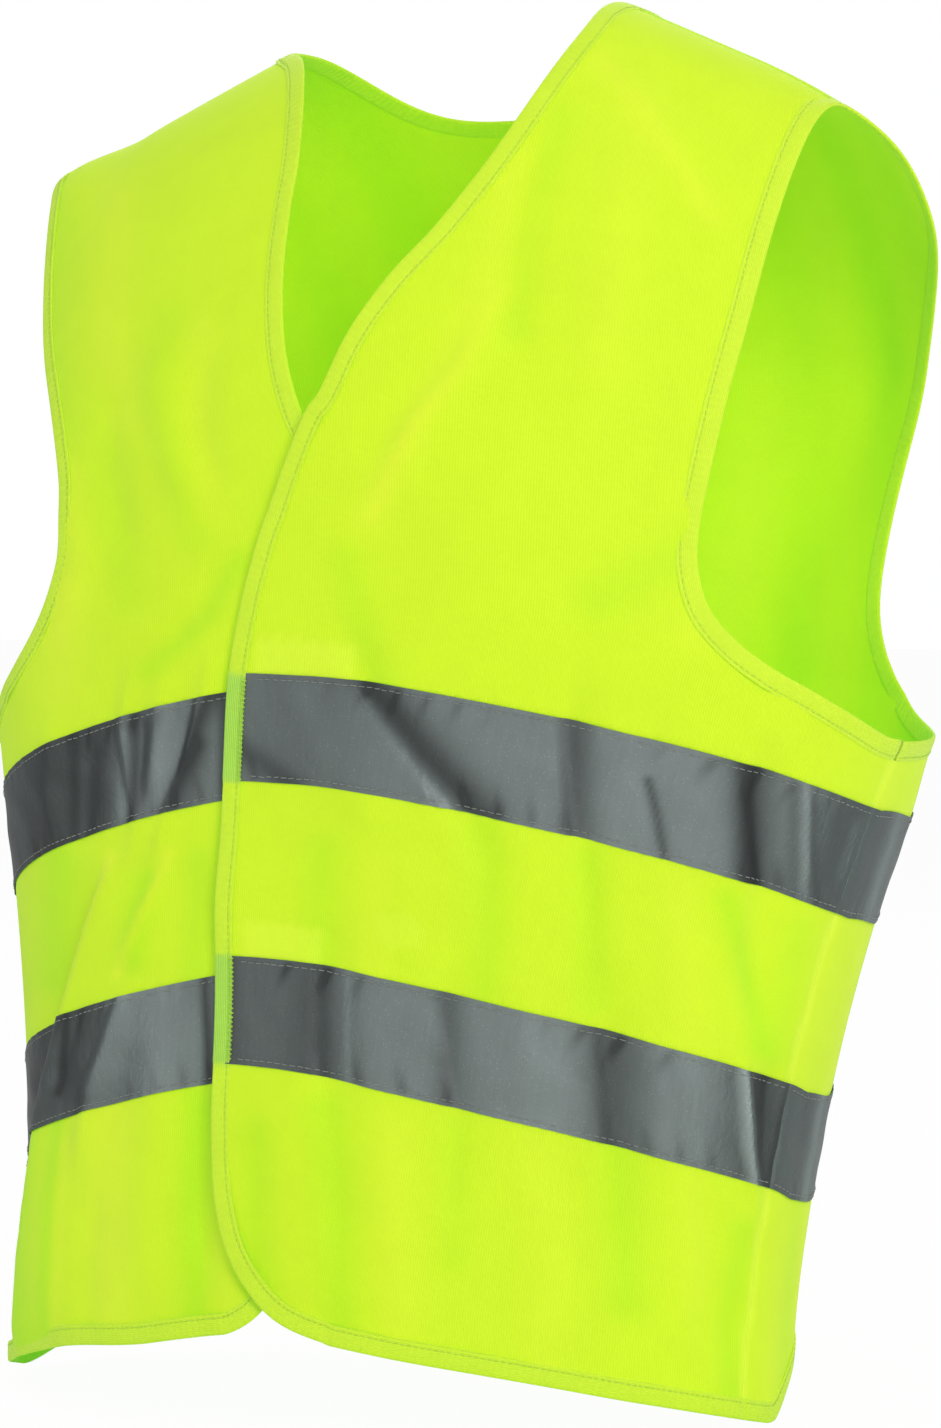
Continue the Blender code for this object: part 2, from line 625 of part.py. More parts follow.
class Layout:
    """Cloth points of one panel in the chart, with the edges its triangles must follow."""

    def __init__(self, panel, outline, rings):
        self.panel = panel
        self.points, self.spots, self.index = [], [], {}
        self.shoulder_spots = []
        self.rows = {}
        self.loop = [self.add(point) for point in outline]
        self.edges = list(zip(self.loop, self.loop[1:] + self.loop[:1]))
        for outer_line, inset_line in rings:
            outer = [self.add(point) for point in outer_line]
            inset = [self.add(point) for point in inset_line]
            for i in range(len(outer)):
                self.edges.append((outer[i], inset[i]))
                if i + 1 < len(outer):
                    self.edges.append((inset[i], inset[i + 1]))
                    self.edges.append((outer[i], inset[i + 1]))
        self.outline = np.array([self.spots[i] for i in self.loop])
        self.segments = np.array([[self.spots[i], self.spots[j]] for i, j in self.edges])

    def add(self, point):
        if point not in self.index:
            self.index[point] = len(self.points)
            self.points.append(point)
            self.spots.append(chart(self.panel, point))
        return self.index[point]

    def add_if_clear(self, point, edge_gap, shoulder_gap):
        """Add a point if it is inside, away from the edges and from the shoulder points."""
        spot = chart(self.panel, point)
        if not inside_outline(spot, self.outline):
            return False
        start = self.segments[:, 0]
        along = self.segments[:, 1] - start
        length_squared = np.maximum((along * along).sum(1), 1e-12)
        share = np.clip(((spot - start) * along).sum(1) / length_squared, 0, 1)
        distances = np.linalg.norm(start + along * share[:, None] - spot, axis=1)
        if float(np.min(distances)) <= edge_gap:
            return False
        if any(np.linalg.norm(spot - other) <= shoulder_gap for other in self.shoulder_spots):
            return False
        self.add(point)
        return True

    def add_shoulder(self, extra):
        for point, clearance in extra:
            if self.add_if_clear(point, clearance, clearance):
                self.shoulder_spots.append(self.spots[-1])

    def add_grid(self):
        for height in GRID_ROWS:
            for angle in grid_columns(self.panel):
                if height > ridge_height(self.panel, wrap(angle)) - RIDGE_CLEAR:
                    continue
                point = cloth_point(self.panel, angle, height)
                if self.add_if_clear(point, *GRID_GAPS):
                    self.rows.setdefault(height, []).append(point)

    def tape_row(self, start, end, height):
        """Grid points of one row between two end points, by rising angle."""
        low, high = sorted((start, end), key=lambda point: point.angle)
        middle = [p for p in self.rows.get(height, []) if low.angle < p.angle < high.angle]
        return [low] + sorted(middle, key=lambda point: point.angle) + [high]

    def add_tape(self, name, ends, group):
        """Tape on the panel's own points, so it stays clear of the panel everywhere."""
        rows = [self.tape_row(*row_ends) for row_ends in ends]
        tris, base = [], 0
        for row, above in zip(rows[:-1], rows[1:]):
            base_above = base + len(row)
            i = j = 0
            while i < len(row) - 1 or j < len(above) - 1:
                if j == len(above) - 1 or (i < len(row) - 1
                                           and row[i + 1].angle <= above[j + 1].angle):
                    tris.append((base + i, base + i + 1, base_above + j))
                    i += 1
                else:
                    tris.append((base + i, base_above + j + 1, base_above + j))
                    j += 1
                self.edges.append((self.index[row[i]], self.index[above[j]]))
            base = base_above
        for row in rows:
            self.edges += [(self.index[a], self.index[b]) for a, b in zip(row[:-1], row[1:])]
        trimmed = {}
        if group != 'body':
            for (start, _, _), row in zip(ends, rows):
                neighbour = row[1] if row[0] is start else row[-2]
                trimmed[start] = shifted(start, neighbour, TAPE_TRIM)
        points = [trimmed.get(point, point) for row in rows for point in row]
        sheet(name, 'tape', points, tris, TAPE_LIFT, TAPE_LIFT + TAPE, group)

    def triangles(self):
        coords = [Vector(spot) for spot in self.spots]
        verts, _, faces, origins, _, _ = delaunay_2d_cdt(
            coords, self.edges, [self.loop], 1, 1e-7, True)
        if len(verts) != len(self.points):
            raise ValueError("outline lines cross on panel " + self.panel)
        source = [origin[0] for origin in origins]
        tris = []
        for face in faces:
            tri = [source[i] for i in face]
            if len(tri) == 3:
                middle = sum((coords[i] for i in tri), Vector((0, 0))) / 3
                if inside_outline(middle, self.outline):
                    tris.append(tri)
        return tris


def panel_sheet(name, panel, outline, rings, extra, tapes, group="body"):
    """Cloth panel with its tapes, triangulated inside its outline and along its bindings."""
    layout = Layout(panel, outline, rings)
    layout.add_shoulder(extra)
    layout.add_grid()
    for tape_name, ends in tapes:
        layout.add_tape(tape_name, ends, group)
    sheet(name, 'cloth', layout.points, layout.triangles(), 0.0, CLOTH, group)


def front_flap(side, path, fold):
    """Flap: hem, rounded corner, free edge and lower neck edge, closed by the fold line."""
    word = WORD[side]
    group = word + '_flap'
    ring = bound_edge(side, spaced(side, path, HEM_STEP, TAPE_ROWS), SIGN[side],
                      first=(fold[0], fold[1]), last=(fold[-1], fold[-2]))
    # the free edge, without the hem
    free_edge = [pair for pair in zip(*ring) if abs(pair[0].angle) < 0.3]

    def inset_at(height):
        return min(free_edge, key=lambda pair: abs(pair[0].height - height))[1]
    tapes = [('%s_tape_%s_flap' % (label, word),
              [(inset_at(height), nearest(fold, height), height) for height in band])
             for label, band in TAPE_BANDS.items()]
    panel_sheet(word + '_front_flap', side, ring[0] + fold[-2:0:-1], [ring], [], tapes, group)
    binding(word + '_front_edge_binding', ring, group)


def front_side_panel(side, neck_path, hem_path, fold):
    """Rest of the front, from the fold line to the side seam; returns the armhole edge."""
    sign, word = SIGN[side], WORD[side]
    seam = seam_line(side, side, -1)
    shoulder = shoulder_line(side, side)
    neck = bound_edge(side, spaced(side, neck_path, FRONT_NECK_STEP), sign,
                      first=(fold[-1], fold[-2]), last=(shoulder[0], shoulder[1]))
    tip = ridge_angle(side, sign * TIP[side])
    near_tip = tip - sign * ARM_END_ANGLE
    arm_path = [(sign * seam_angle(UNDERARM), UNDERARM)]
    arm_path += [(sign * math.radians(degrees), height) for degrees, height in FRONT_ARM[side]]
    arm_path += [(near_tip, ridge_height(side, near_tip) - ARM_END_DROP),
                 (tip, ridge_height(side, tip))]
    arm = bound_edge(side, spaced(side, catmull(arm_path), ARM_STEP), -sign,
                     first=(seam[-1], seam[-2]), last=(shoulder[-1], shoulder[-2]))
    hem = bound_edge(side, spaced(side, hem_path, HEM_STEP), sign,
                     first=(seam[0], seam[1]), last=(fold[0], fold[1]))
    outline = (neck[0] + shoulder[1:-1] + arm[0][::-1] + seam[-2:0:-1] + hem[0] + fold[1:-1])
    tapes = [('%s_tape_%s_side' % (label, word),
              [(nearest(fold, height), nearest(seam, height), height) for height in band])
             for label, band in TAPE_BANDS.items()]
    panel_sheet(word + '_front_side_panel', side, outline, [neck, arm, hem],
                shoulder_rows(side, side), tapes)
    binding(word + '_neck_binding', neck)
    binding(word + '_side_hem_binding', hem)
    return arm


def closure_patches(side):
    """Hooks behind the left front, loops on the face of the right front."""
    if side == 'L':
        kind, raised, low, high = 'hook', 0.0, -0.0011, -0.0004
    else:
        kind, raised, low, high = 'loop', RIGHT_LOWER, 0.0020, 0.0027
    first, last = PATCH_ANGLE
    angles = [math.radians(first + (last - first) * k / 2) for k in range(3)]
    for label, level in zip(TAPE_BANDS, TAPE_LEVELS):
        top = level + TAPE_WIDTH + PATCH_ABOVE
        rows = [[cloth_point(side, angle, height + raised) for angle in angles]
                for height in (top - PATCH_HEIGHT, top - PATCH_HEIGHT / 2, top)]
        strip('%s_%s_patch' % (label, kind), kind, rows, low, high, WORD[side] + '_flap')


def fold_rows(side, before, crossing):
    """Heights of the points on the fold line, ending at its crossing of the neck edge.
    `before` is a point on the edge just below the crossing."""
    edge = place_at(side, *crossing) - place_at(side, *before)
    (top_x, top_z), (low_x, low_z) = FOLD[side]
    fold = np.array([low_x - top_x, 0.0, low_z - top_z])
    cosine = abs(np.dot(edge, fold)) / np.linalg.norm(edge) / np.linalg.norm(fold)
    # where the binding's inset line meets the fold line
    binding_run = BIND_WIDTH / math.sqrt(max(0.1, 1 - cosine * cosine)) * 1.02
    top = crossing[1]
    rows = EDGE_ROWS + [0.325, 0.355, 0.385, 0.415, 0.445, 0.470]
    return [row for row in rows if row < top - 0.018] + [top - binding_run, top]


def fold_line(side, rows, toward):
    """Points on the fold line, moved to the side panel (+1) or to the flap (-1)."""
    line = []
    for height in rows:
        point = cloth_point(side, fold_angle(side, height), height)
        point.place = point.place + np.array([SIGN[side] * FOLD_GAP * toward, 0, 0])
        line.append(point)
    return line


def front(side):
    """One front: side panel, flap and closure patches; returns the armhole edge."""
    sign = SIGN[side]
    edge = [(sign * math.radians(degrees), height)
            for degrees, height in [(SEAM_ANGLE[0], 0.0)] + FRONT_EDGE[side]]
    neck = ridge_angle(side, sign * NECK_HALF)
    edge.append((neck, ridge_height(side, neck)))
    path = [(angle, max(height, 0.0)) for angle, height in catmull(edge)]

    # where the fold line crosses the hem and the neck edge
    offsets = [fold_distance(side, place_at(side, *spot)) for spot in path]
    cuts = [i for i in range(len(path) - 1) if offsets[i] * offsets[i + 1] < 0]

    def crossing(i):
        share = offsets[i] / (offsets[i] - offsets[i + 1])
        return tuple(path[i][k] + (path[i + 1][k] - path[i][k]) * share for k in (0, 1))
    at_hem, at_neck = cuts[0], cuts[-1]
    hem_cross, neck_cross = crossing(at_hem), crossing(at_neck)
    rows = fold_rows(side, path[at_neck - 2], neck_cross)

    front_flap(side, [hem_cross] + path[at_hem + 1:at_neck + 1] + [neck_cross],
               fold_line(side, rows, -1))
    arm = front_side_panel(side, [neck_cross] + path[at_neck + 1:],
                           path[:at_hem + 1] + [hem_cross], fold_line(side, rows, +1))
    closure_patches(side)
    return arm


def back_neck_path(left, right):
    """Neck scoop from the left neck point to the right neck point."""
    path = []
    for k in range(25):
        share = k / 24
        scoop = BACK_NECK_DROP * (1 - abs(2 * share - 1) ** 3.0) ** 0.75
        path.append((left.angle + (right.angle - left.angle) * share,
                     left.height + (right.height - left.height) * share - scoop))
    return path


def back_arm(side, seam, shoulder):
    """Bound armhole edge of the back, from the underarm to the shoulder tip."""
    path = [(seam_angle(UNDERARM), UNDERARM)]
    path += [(math.radians(degrees), height) for degrees, height in BACK_ARM]
    if side == 'R':
        path = [(2 * math.pi - angle, height) for angle, height in path]
    tip = shoulder[-1]
    near_tip = tip.angle + SIGN[side] * ARM_END_ANGLE
    path.append((near_tip, ridge_height('B', wrap(near_tip)) - ARM_END_DROP))
    path.append((tip.angle, tip.height))
    return bound_edge('B', spaced_evenly('B', catmull(path), ARM_STEP), SIGN[side],
                      first=(seam[-1], seam[-2]), last=(tip, shoulder[-2]))


def back():
    """Back panel with its tapes, neck and hem bindings; returns the armhole edges."""
    seams = {side: seam_line('B', side, +1) for side in 'LR'}
    shoulders = {side: shoulder_line('B', side) for side in 'LR'}
    arms = {side: back_arm(side, seams[side], shoulders[side]) for side in 'LR'}
    left, right = shoulders['L'], shoulders['R']
    neck_path = spaced_evenly('B', back_neck_path(left[0], right[0]), BACK_NECK_STEP)
    neck = bound_edge('B', neck_path, +1, first=(left[0], left[1]), last=(right[0], right[1]))

    seam_left, seam_right = seams['L'], seams['R']
    start = seam_angle(0)
    angles = [start + (2 * math.pi - 2 * start) * k / 90 for k in range(91)]
    hem_path = spaced_evenly('B', [(angle, back_hem(angle)) for angle in angles],
                             BACK_HEM_STEP)
    hem = bound_edge('B', hem_path, -1, first=(seam_left[0], seam_left[1]),
                     last=(seam_right[0], seam_right[1]))

    outline = (hem[0] + seam_right[1:-1] + arms['R'][0] + right[-2:0:-1] + neck[0][::-1]
               + left[1:-1] + arms['L'][0][::-1] + seam_left[-2:0:-1])
    # the armhole bindings run down the back, so their rings are reversed
    downward = {side: [line[::-1] for line in arms[side]] for side in 'LR'}
    tapes = [(label + '_tape_back',
              [(nearest(seam_left, height), nearest(seam_right, height), height)
               for height in band])
             for label, band in TAPE_BANDS.items()]
    panel_sheet('back_panel', 'B', outline, [hem, downward['R'], neck, downward['L']],
                shoulder_rows('B', 'L') + shoulder_rows('B', 'R'), tapes)
    binding('back_neck_binding', neck)
    binding('back_hem_binding', hem)
    return arms


# ---------------------------------------------------------------- armholes and seams
def armhole_binding(side, front_arm, back_arm_edge):
    """One closed ring: up the front, over the shoulder, down the back."""
    normal = front_arm[0][-1].normal, front_arm[1][-1].normal
    ring = []
    for k, (up, down) in enumerate(zip(front_arm, back_arm_edge)):
        tip = ClothPoint(0, 0, 0.5 * (up[-1].place + down[-1].place), normal[k])
        ring.append(up[:-1] + [tip] + down[-2:0:-1])
    binding(WORD[side] + '_armhole_binding', ring, closed=True)


def side_seam(side):
    """Strip inside the side seam."""
    rows = []
    for height in [0.012] + STRIP_ROWS + [0.3175]:
        row = [cloth_point('B', SIGN[side] * (seam_angle(height) + offset), height)
               for offset in (-SEAM_STRIP_HALF, 0.0, SEAM_STRIP_HALF)]
        rows.append(row if side == 'L' else row[::-1])
    strip(WORD[side] + '_side_seam', 'seam', rows, -0.0022, -0.0013)


def shoulder_seam(side):
    """Flat stay under the shoulder seam."""
    half_width, thickness, below = 0.007, 0.0012, 0.0016
    ends = [np.array([SIGN[side] * x, RIDGE_Y, float(ridge_z(side, x)) - below])
            for x in (NECK_HALF + 0.014, 0.190)]
    normal = unit(np.cross(ends[1] - ends[0], np.array([0, 1.0, 0])))
    if normal[2] <= 0:
        normal = -normal
    verts = [end + normal * lift + np.array([0, offset, 0])
             for lift in (0.0, -thickness)
             for end in ends
             for offset in (-half_width, half_width)]
    faces = [(0, 1, 3, 2), (4, 6, 7, 5), (0, 4, 5, 1), (2, 3, 7, 6), (0, 2, 6, 4), (1, 5, 7, 3)]
    solid(WORD[side] + '_shoulder_seam', 'seam', verts, faces)


# ---------------------------------------------------------------- hinges and objects
def hinge_middle(side):
    """Middle of the straight hinge line, which stands just outside the curved fold so that
    the flap's edge lifts clear of the side."""
    points = [cloth_point(side, fold_angle(side, height), height)
              for height in np.linspace(0.0, FOLD[side][0][1] + 0.02, 25)]
    places = np.array([point.place for point in points])
    along = unit(places[-1] - places[0])
    out = np.mean([point.normal for point in points], axis=0)
    out = unit(out - np.dot(out, along) * along)
    across = np.cross(along, out)
    relative = places - places[0]
    lift = float((relative @ out).max()) + HINGE_CLEAR
    over = float(0.5 * ((relative @ across).max() + (relative @ across).min()))
    return 0.5 * (places[0] + places[-1]) + out * lift + across * over


def make_material(name, kind):
    colour, roughness, metallic = MATERIALS[kind]
    material = bpy.data.materials.new(name)
    material.use_nodes = True
    inputs = material.node_tree.nodes['Principled BSDF'].inputs
    inputs['Base Color'].default_value = (*colour, 1.0)
    inputs['Roughness'].default_value = roughness
    inputs['Metallic'].default_value = metallic
    return material


def make_object(name, kind, verts, faces, origin):
    mesh = bpy.data.meshes.new(name)
    mesh.from_pydata([tuple(vert) for vert in verts - origin], [], faces)
    edit = bmesh.new()
    edit.from_mesh(mesh)
    bmesh.ops.recalc_face_normals(edit, faces=edit.faces)
    if edit.calc_volume(signed=True) < 0:
        bmesh.ops.reverse_faces(edit, faces=edit.faces)
    edit.to_mesh(mesh)
    edit.free()
    for polygon in mesh.polygons:
        polygon.use_smooth = True
    mesh.set_sharp_from_angle(angle=math.radians(35))
    mesh.materials.append(make_material(name, kind))
    thing = bpy.data.objects.new(name, mesh)
    thing.location = tuple(origin)
    bpy.context.scene.collection.objects.link(thing)


def main():
    for thing in list(bpy.data.objects):
        bpy.data.objects.remove(thing, do_unlink=True)

    front_arms = {side: front(side) for side in 'LR'}
    back_arms = back()
    for side in 'LR':
        armhole_binding(side, front_arms[side], back_arms[side])
        side_seam(side)
        shoulder_seam(side)

    # centre the vest in x and y and stand it on z = 0
    every_vert = np.concatenate([verts for _, _, verts, _, _ in PIECES])
    low, high = every_vert.min(0), every_vert.max(0)
    shift = np.array([-(low[0] + high[0]) / 2, -(low[1] + high[1]) / 2, -low[2]])
    origins = {WORD[side] + '_flap': hinge_middle(side) + shift for side in 'LR'}
    origins['body'] = np.zeros(3)
    for name, kind, verts, faces, group in PIECES:
        make_object(name, kind, verts + shift, faces, origins[group])


main()
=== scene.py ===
"""Looks of the high visibility vest: knitted cloth, tapes, bindings, stitching and closures.

Metres, +Z up.  The cloth surface is described by an angle u round the body (0 centre front,
positive towards the wearer's left, pi at the centre back) and the height q along the cloth.
"""
import math
import bpy
import numpy as np
from mathutils import Vector, Matrix
from mathutils.geometry import delaunay_2d_cdt


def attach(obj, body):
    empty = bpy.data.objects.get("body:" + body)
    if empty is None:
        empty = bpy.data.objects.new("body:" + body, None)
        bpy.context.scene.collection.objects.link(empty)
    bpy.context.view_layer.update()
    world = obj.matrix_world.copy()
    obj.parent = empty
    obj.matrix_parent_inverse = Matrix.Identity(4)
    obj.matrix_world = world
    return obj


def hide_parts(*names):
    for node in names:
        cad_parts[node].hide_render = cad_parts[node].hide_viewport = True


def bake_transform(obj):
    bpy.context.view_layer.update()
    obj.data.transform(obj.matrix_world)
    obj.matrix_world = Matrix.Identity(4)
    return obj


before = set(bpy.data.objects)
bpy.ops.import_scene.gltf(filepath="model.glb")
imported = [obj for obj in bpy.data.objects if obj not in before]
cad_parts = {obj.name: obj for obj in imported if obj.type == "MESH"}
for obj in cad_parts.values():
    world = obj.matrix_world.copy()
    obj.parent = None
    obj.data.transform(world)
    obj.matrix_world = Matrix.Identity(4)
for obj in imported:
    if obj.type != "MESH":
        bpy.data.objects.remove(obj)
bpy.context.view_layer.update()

# ---------------------------------------------------------------- the body surface (as the CAD has it)
HALF_WIDTH_L = (0.198, 0.215, 0.240)
HALF_WIDTH_R = (0.198, 0.214, 0.231)
DEPTH_FRONT = (0.150, 0.134, 0.136)
DEPTH_BACK = (0.125, 0.155, 0.166)
DEPTH_BACK_TOP = 0.192
LEVEL_TAPE, LEVEL_ARM = 0.25, 0.34
SQUARENESS = (2.05, 2.45, 3.0)
HEM_LIFT = (0.005, 0.005)
BACK_HEM_RISE = 0.030
SIDE_SAG = 0.0075
HEM_SHIFT = -0.028
SIDE_DROP_L, SIDE_DROP_R, RIGHT_LOWER = 0.066, 0.078, 0.004
NECK_HALF = 0.086
NECK_Z_L, NECK_Z_R = 0.6145, 0.597
SHOULDER_SLOPE = 0.43
RIDGE_Y = 0.014
SHOULDER_ROUND = 0.30
TIP_L, TIP_R = 0.196, 0.222
TAPE_WIDTH = 0.050
TAPE_LEVELS = (0.118, 0.249)
BIND_WIDTH = 0.009
LAP = 0.0042
SEAM_ANGLE = (79.0, 89.0)
UNDERARM = 0.330
PATCH_ANGLE = (-3.8, 3.8)
PATCH_HEIGHT, PATCH_ABOVE = 0.050, 0.016
BACK_NECK_DROP = 0.034
LEFT_EDGE = [(60, 0.0), (40, 0.0), (25, 0.0), (12, 0.0), (3.5, 0.007), (-2.0, 0.027), (-5.5, 0.057),
             (-7.0, 0.092), (-7.3, 0.130), (-7.6, 0.190), (-7.3, 0.250), (-6.6, 0.302), (-4.6, 0.350),
             (-2.6, 0.380), (0.1, 0.425), (1.9, 0.455), (4.8, 0.483), (8.6, 0.510), (12.2, 0.542),
             (15.0, 0.575), (16.8, 0.606)]
RIGHT_EDGE = [(60, 0.0), (40, 0.0), (25, 0.0), (12, 0.0), (2.0, 0.001), (-3.0, 0.018), (-6.0, 0.050),
              (-7.3, 0.090), (-7.5, 0.130), (-7.5, 0.190), (-7.5, 0.250), (-7.2, 0.302), (-5.4, 0.350),
              (-2.8, 0.385), (0.2, 0.412), (2.2, 0.436), (3.6, 0.460), (4.6, 0.490), (5.1, 0.520),
              (5.6, 0.548), (7.6, 0.578), (11.0, 0.600)]
LEFT_ARM = [(84, 0.3295), (74, 0.3325), (64, 0.3365), (56, 0.3410), (49.5, 0.3490), (45.3, 0.3600),
            (43.4, 0.3760), (43.2, 0.3950), (44.2, 0.4200), (46.0, 0.4580), (48.0, 0.4960),
            (49.4, 0.5330), (50.6, 0.5680)]
RIGHT_ARM = [(84, 0.3300), (74, 0.3320), (66, 0.3345), (58, 0.3385), (50, 0.3450), (43, 0.3570),
             (38.5, 0.3740), (37.0, 0.3950), (38.9, 0.4260), (43.4, 0.4600), (50.0, 0.4960),
             (56.0, 0.5300), (60.5, 0.5530), (65.0, 0.5700), (69.5, 0.5815)]
BACK_ARM = [(97, 0.3290), (107, 0.3287), (117, 0.3292), (125, 0.3315), (131, 0.3370), (136, 0.3470),
            (139.5, 0.3610), (141.8, 0.3800), (142.6, 0.4050), (142.3, 0.4350), (140.5, 0.4650), (136.2, 0.5000),
            (130.0, 0.5300), (121.0, 0.5620)]
SHIFT = np.array([-0.0024130527408908614, -0.01856047627908533, 0.0522176496227495])

# what the looks add
CLOTH = 0.0007            # drawn cloth thickness
TAPE_GAP, TAPE = 0.00018, 0.00032
STEP = 0.0041             # cloth mesh size
RNG = np.random.default_rng(11)
WORLD_LIGHT = 0.34
FOLD_DEPTH = 1.6          # strength of the drawn folds


def smooth(t):
    t = np.clip(t, 0.0, 1.0)
    return t * t * (3 - 2 * t)


def through(q, k):
    a, b = LEVEL_TAPE, LEVEL_ARM
    t = np.clip(q, 0.0, b)
    return k[0] * (t - a) * (t - b) / (a * b) + k[1] * t * (t - b) / (a * (a - b)) \
        + k[2] * t * (t - a) / (b * (b - a))


def side_drop(panel, phi, q):
    grow = 0.84 + 0.16 * np.clip(q / 0.12, 0, 1)
    t = np.abs(phi) / (np.pi / 2)

    def ease(v):
        return np.where(v < 0.8, v, v - (v - 0.8) ** 2 / 2.4)
    own = phi / (np.pi / 2) * (1.0 if panel == 'L' else -1.0)
    round_off = 0.4 * own + 0.6 * (np.sqrt(own * own + 0.006) - 0.006 ** 0.5)
    if panel == 'L':
        return SIDE_DROP_L * ease(round_off) * grow
    # the hem is cut a little higher round the wearer's right side
    a = np.degrees(np.abs(phi))
    high = (HEM_LIFT[0] * smooth((a - 15) / 20) + HEM_LIFT[1] * smooth((a - 55) / 30)) \
        * np.clip(1 - q / 0.11, 0, 1)
    if panel == 'R':
        return (SIDE_DROP_R * ease(round_off) + RIGHT_LOWER) * grow - high
    flat = t + 0.6 * (np.sqrt(t * t + 0.006) - 0.006 ** 0.5 - t)
    tb = np.where(t > 1, (flat - t) + 1 - 0.35 * smooth(t - 1), flat)
    psi = np.where(phi >= 0, np.pi - phi, -(np.pi + phi))
    w = smooth((psi + np.pi / 2) / np.pi)
    # behind the wearer's left side seam the cloth sags a little further before it climbs to the back
    d = np.degrees(phi)
    behind = smooth((d - (SEAM_ANGLE[0] + (SEAM_ANGLE[1] - SEAM_ANGLE[0]) * np.clip(q / UNDERARM, 0, 1))) / 18)
    sag = SIDE_SAG * np.where(phi > 0, behind, 0.0) * np.exp(-(np.clip(d - 107, 0, None) / 20) ** 2) \
        * smooth((q - 0.03) / 0.08) * smooth((0.330 - q) / 0.034)
    return (w * SIDE_DROP_L * ease(tb) + (1 - w) * (SIDE_DROP_R * ease(tb) + RIGHT_LOWER)) * grow - (1 - w) * high + sag


def ridge_z(panel, x):
    ax = np.abs(x)
    if panel == 'L':
        top = NECK_Z_L
    elif panel == 'R':
        top = NECK_Z_R
    else:
        top = NECK_Z_R + (NECK_Z_L - NECK_Z_R) * smooth((x + NECK_HALF) / (2 * NECK_HALF))
    return top - SHOULDER_SLOPE * (ax - NECK_HALF) - 2.0 * np.clip(ax - 0.15, 0, None) ** 2


def flat_depth(phi, q):
    bf = through(q, DEPTH_FRONT)
    up = smooth((q - 0.34) / 0.16)
    bb = through(q, DEPTH_BACK)
    bb = bb + (DEPTH_BACK_TOP - bb) * up
    n = SQUARENESS[0] + (SQUARENESS[1] - SQUARENESS[0]) * np.clip(q / 0.3, 0, 1)
    c = np.cos(phi)
    n = np.where(c < 0, n + (SQUARENESS[2] - SQUARENESS[1]) * up, n)
    return np.where(c > 0, -bf, bb) * np.abs(c) ** (2 / n), n, up


def body(panel, phi, q):
    phi = np.asarray(phi, float)
    q = np.asarray(q, float)
    left = phi >= 0
    a = np.where(left, through(q, HALF_WIDTH_L), through(q, HALF_WIDTH_R))
    y, n, up = flat_depth(phi, q)
    c, s = np.cos(phi), np.abs(np.sin(phi))
    x = np.where(left, 1, -1) * a * s ** (2 / n) + HEM_SHIFT * np.clip(1 - q / 0.35, 0, 1)
    z = q - side_drop(panel, phi, q)
    reach = np.where(c < 0, SHOULDER_ROUND - 0.10 * up, SHOULDER_ROUND)
    h = np.clip((ridge_z(panel, x) - z) / reach, 0, 1)
    y = RIDGE_Y + (y - RIDGE_Y) * np.sqrt(1 - (1 - h) ** 2)
    return np.stack([x, y, z], -1)


def wrap(u):
    return (np.asarray(u, float) + np.pi) % (2 * np.pi) - np.pi


def ridge_share(panel, p, phi, q):
    """0 on the shoulder line, 1 a little below it."""
    _, _, up = flat_depth(phi, q)
    reach = np.where(np.cos(phi) < 0, SHOULDER_ROUND - 0.10 * up, SHOULDER_ROUND)
    return (ridge_z(panel, p[:, 0]) - p[:, 2]) / reach


def frame_at(panel, phi, q):
    p = body(panel, phi, q)
    e = 1e-3
    du = body(panel, wrap(phi + e), q) - body(panel, wrap(phi - e), q)
    dv = p - body(panel, phi, q - 2e-4)
    n = np.cross(du, dv)
    n = n / np.maximum(np.linalg.norm(n, axis=-1, keepdims=True), 1e-12)
    h = ridge_share(panel, p, phi, q)
    top = np.stack([np.sign(p[:, 0]) * SHOULDER_SLOPE, 0 * h, 1 + 0 * h], -1)
    top = top / np.linalg.norm(top, axis=-1, keepdims=True)
    w = smooth(1 - h / 0.03)[:, None]
    n = n * (1 - w) + top * w
    return p, n / np.linalg.norm(n, axis=-1, keepdims=True)


def lap_offset(panel, phi, q):
    if panel != 'L':
        return 0.0 * phi
    return LAP * (1 - smooth((np.degrees(phi) - 11) / 30.0)) * (1 - smooth((q - 0.45) / 0.11))


def ridge_q(panel, u):
    u = np.atleast_1d(np.asarray(u, float))
    lo, hi = np.full(u.shape, 0.3), np.full(u.shape, 0.8)
    for _ in range(44):
        mid = 0.5 * (lo + hi)
        p = body(panel, u, mid)
        below = ridge_z(panel, p[:, 0]) > p[:, 2]
        lo, hi = np.where(below, mid, lo), np.where(below, hi, mid)
    return lo


def u_for_x_on_ridge(panel, x):
    sgn = 1.0 if x >= 0 else -1.0
    lo, hi = (0.0, math.radians(89)) if panel in 'LR' else (math.radians(91), math.radians(179.9))
    for _ in range(44):
        mid = 0.5 * (lo + hi)
        px = abs(body(panel, np.array([sgn * mid]), ridge_q(panel, sgn * mid))[0][0])
        if (px < abs(x)) == (panel in 'LR'):
            lo = mid
        else:
            hi = mid
    return sgn * 0.5 * (lo + hi)


def seam_u(q):
    return math.radians(SEAM_ANGLE[0]) + math.radians(SEAM_ANGLE[1] - SEAM_ANGLE[0]) * np.asarray(q) / UNDERARM


# ---------------------------------------------------------------- the camera, and view coordinates for placing folds
AZ, EL, DIST, FOCAL = math.radians(27), math.radians(2), 2.5, 5190.0
BACK = np.array([math.sin(AZ) * math.cos(EL), -math.cos(AZ) * math.cos(EL), math.sin(EL)])
RIGHT = np.array([math.cos(AZ), math.sin(AZ), 0.0])
UP = np.cross(BACK, RIGHT)
TARGET = RIGHT * 0.010 + np.array([0, 0, 0.277])
EYE = TARGET + BACK * DIST


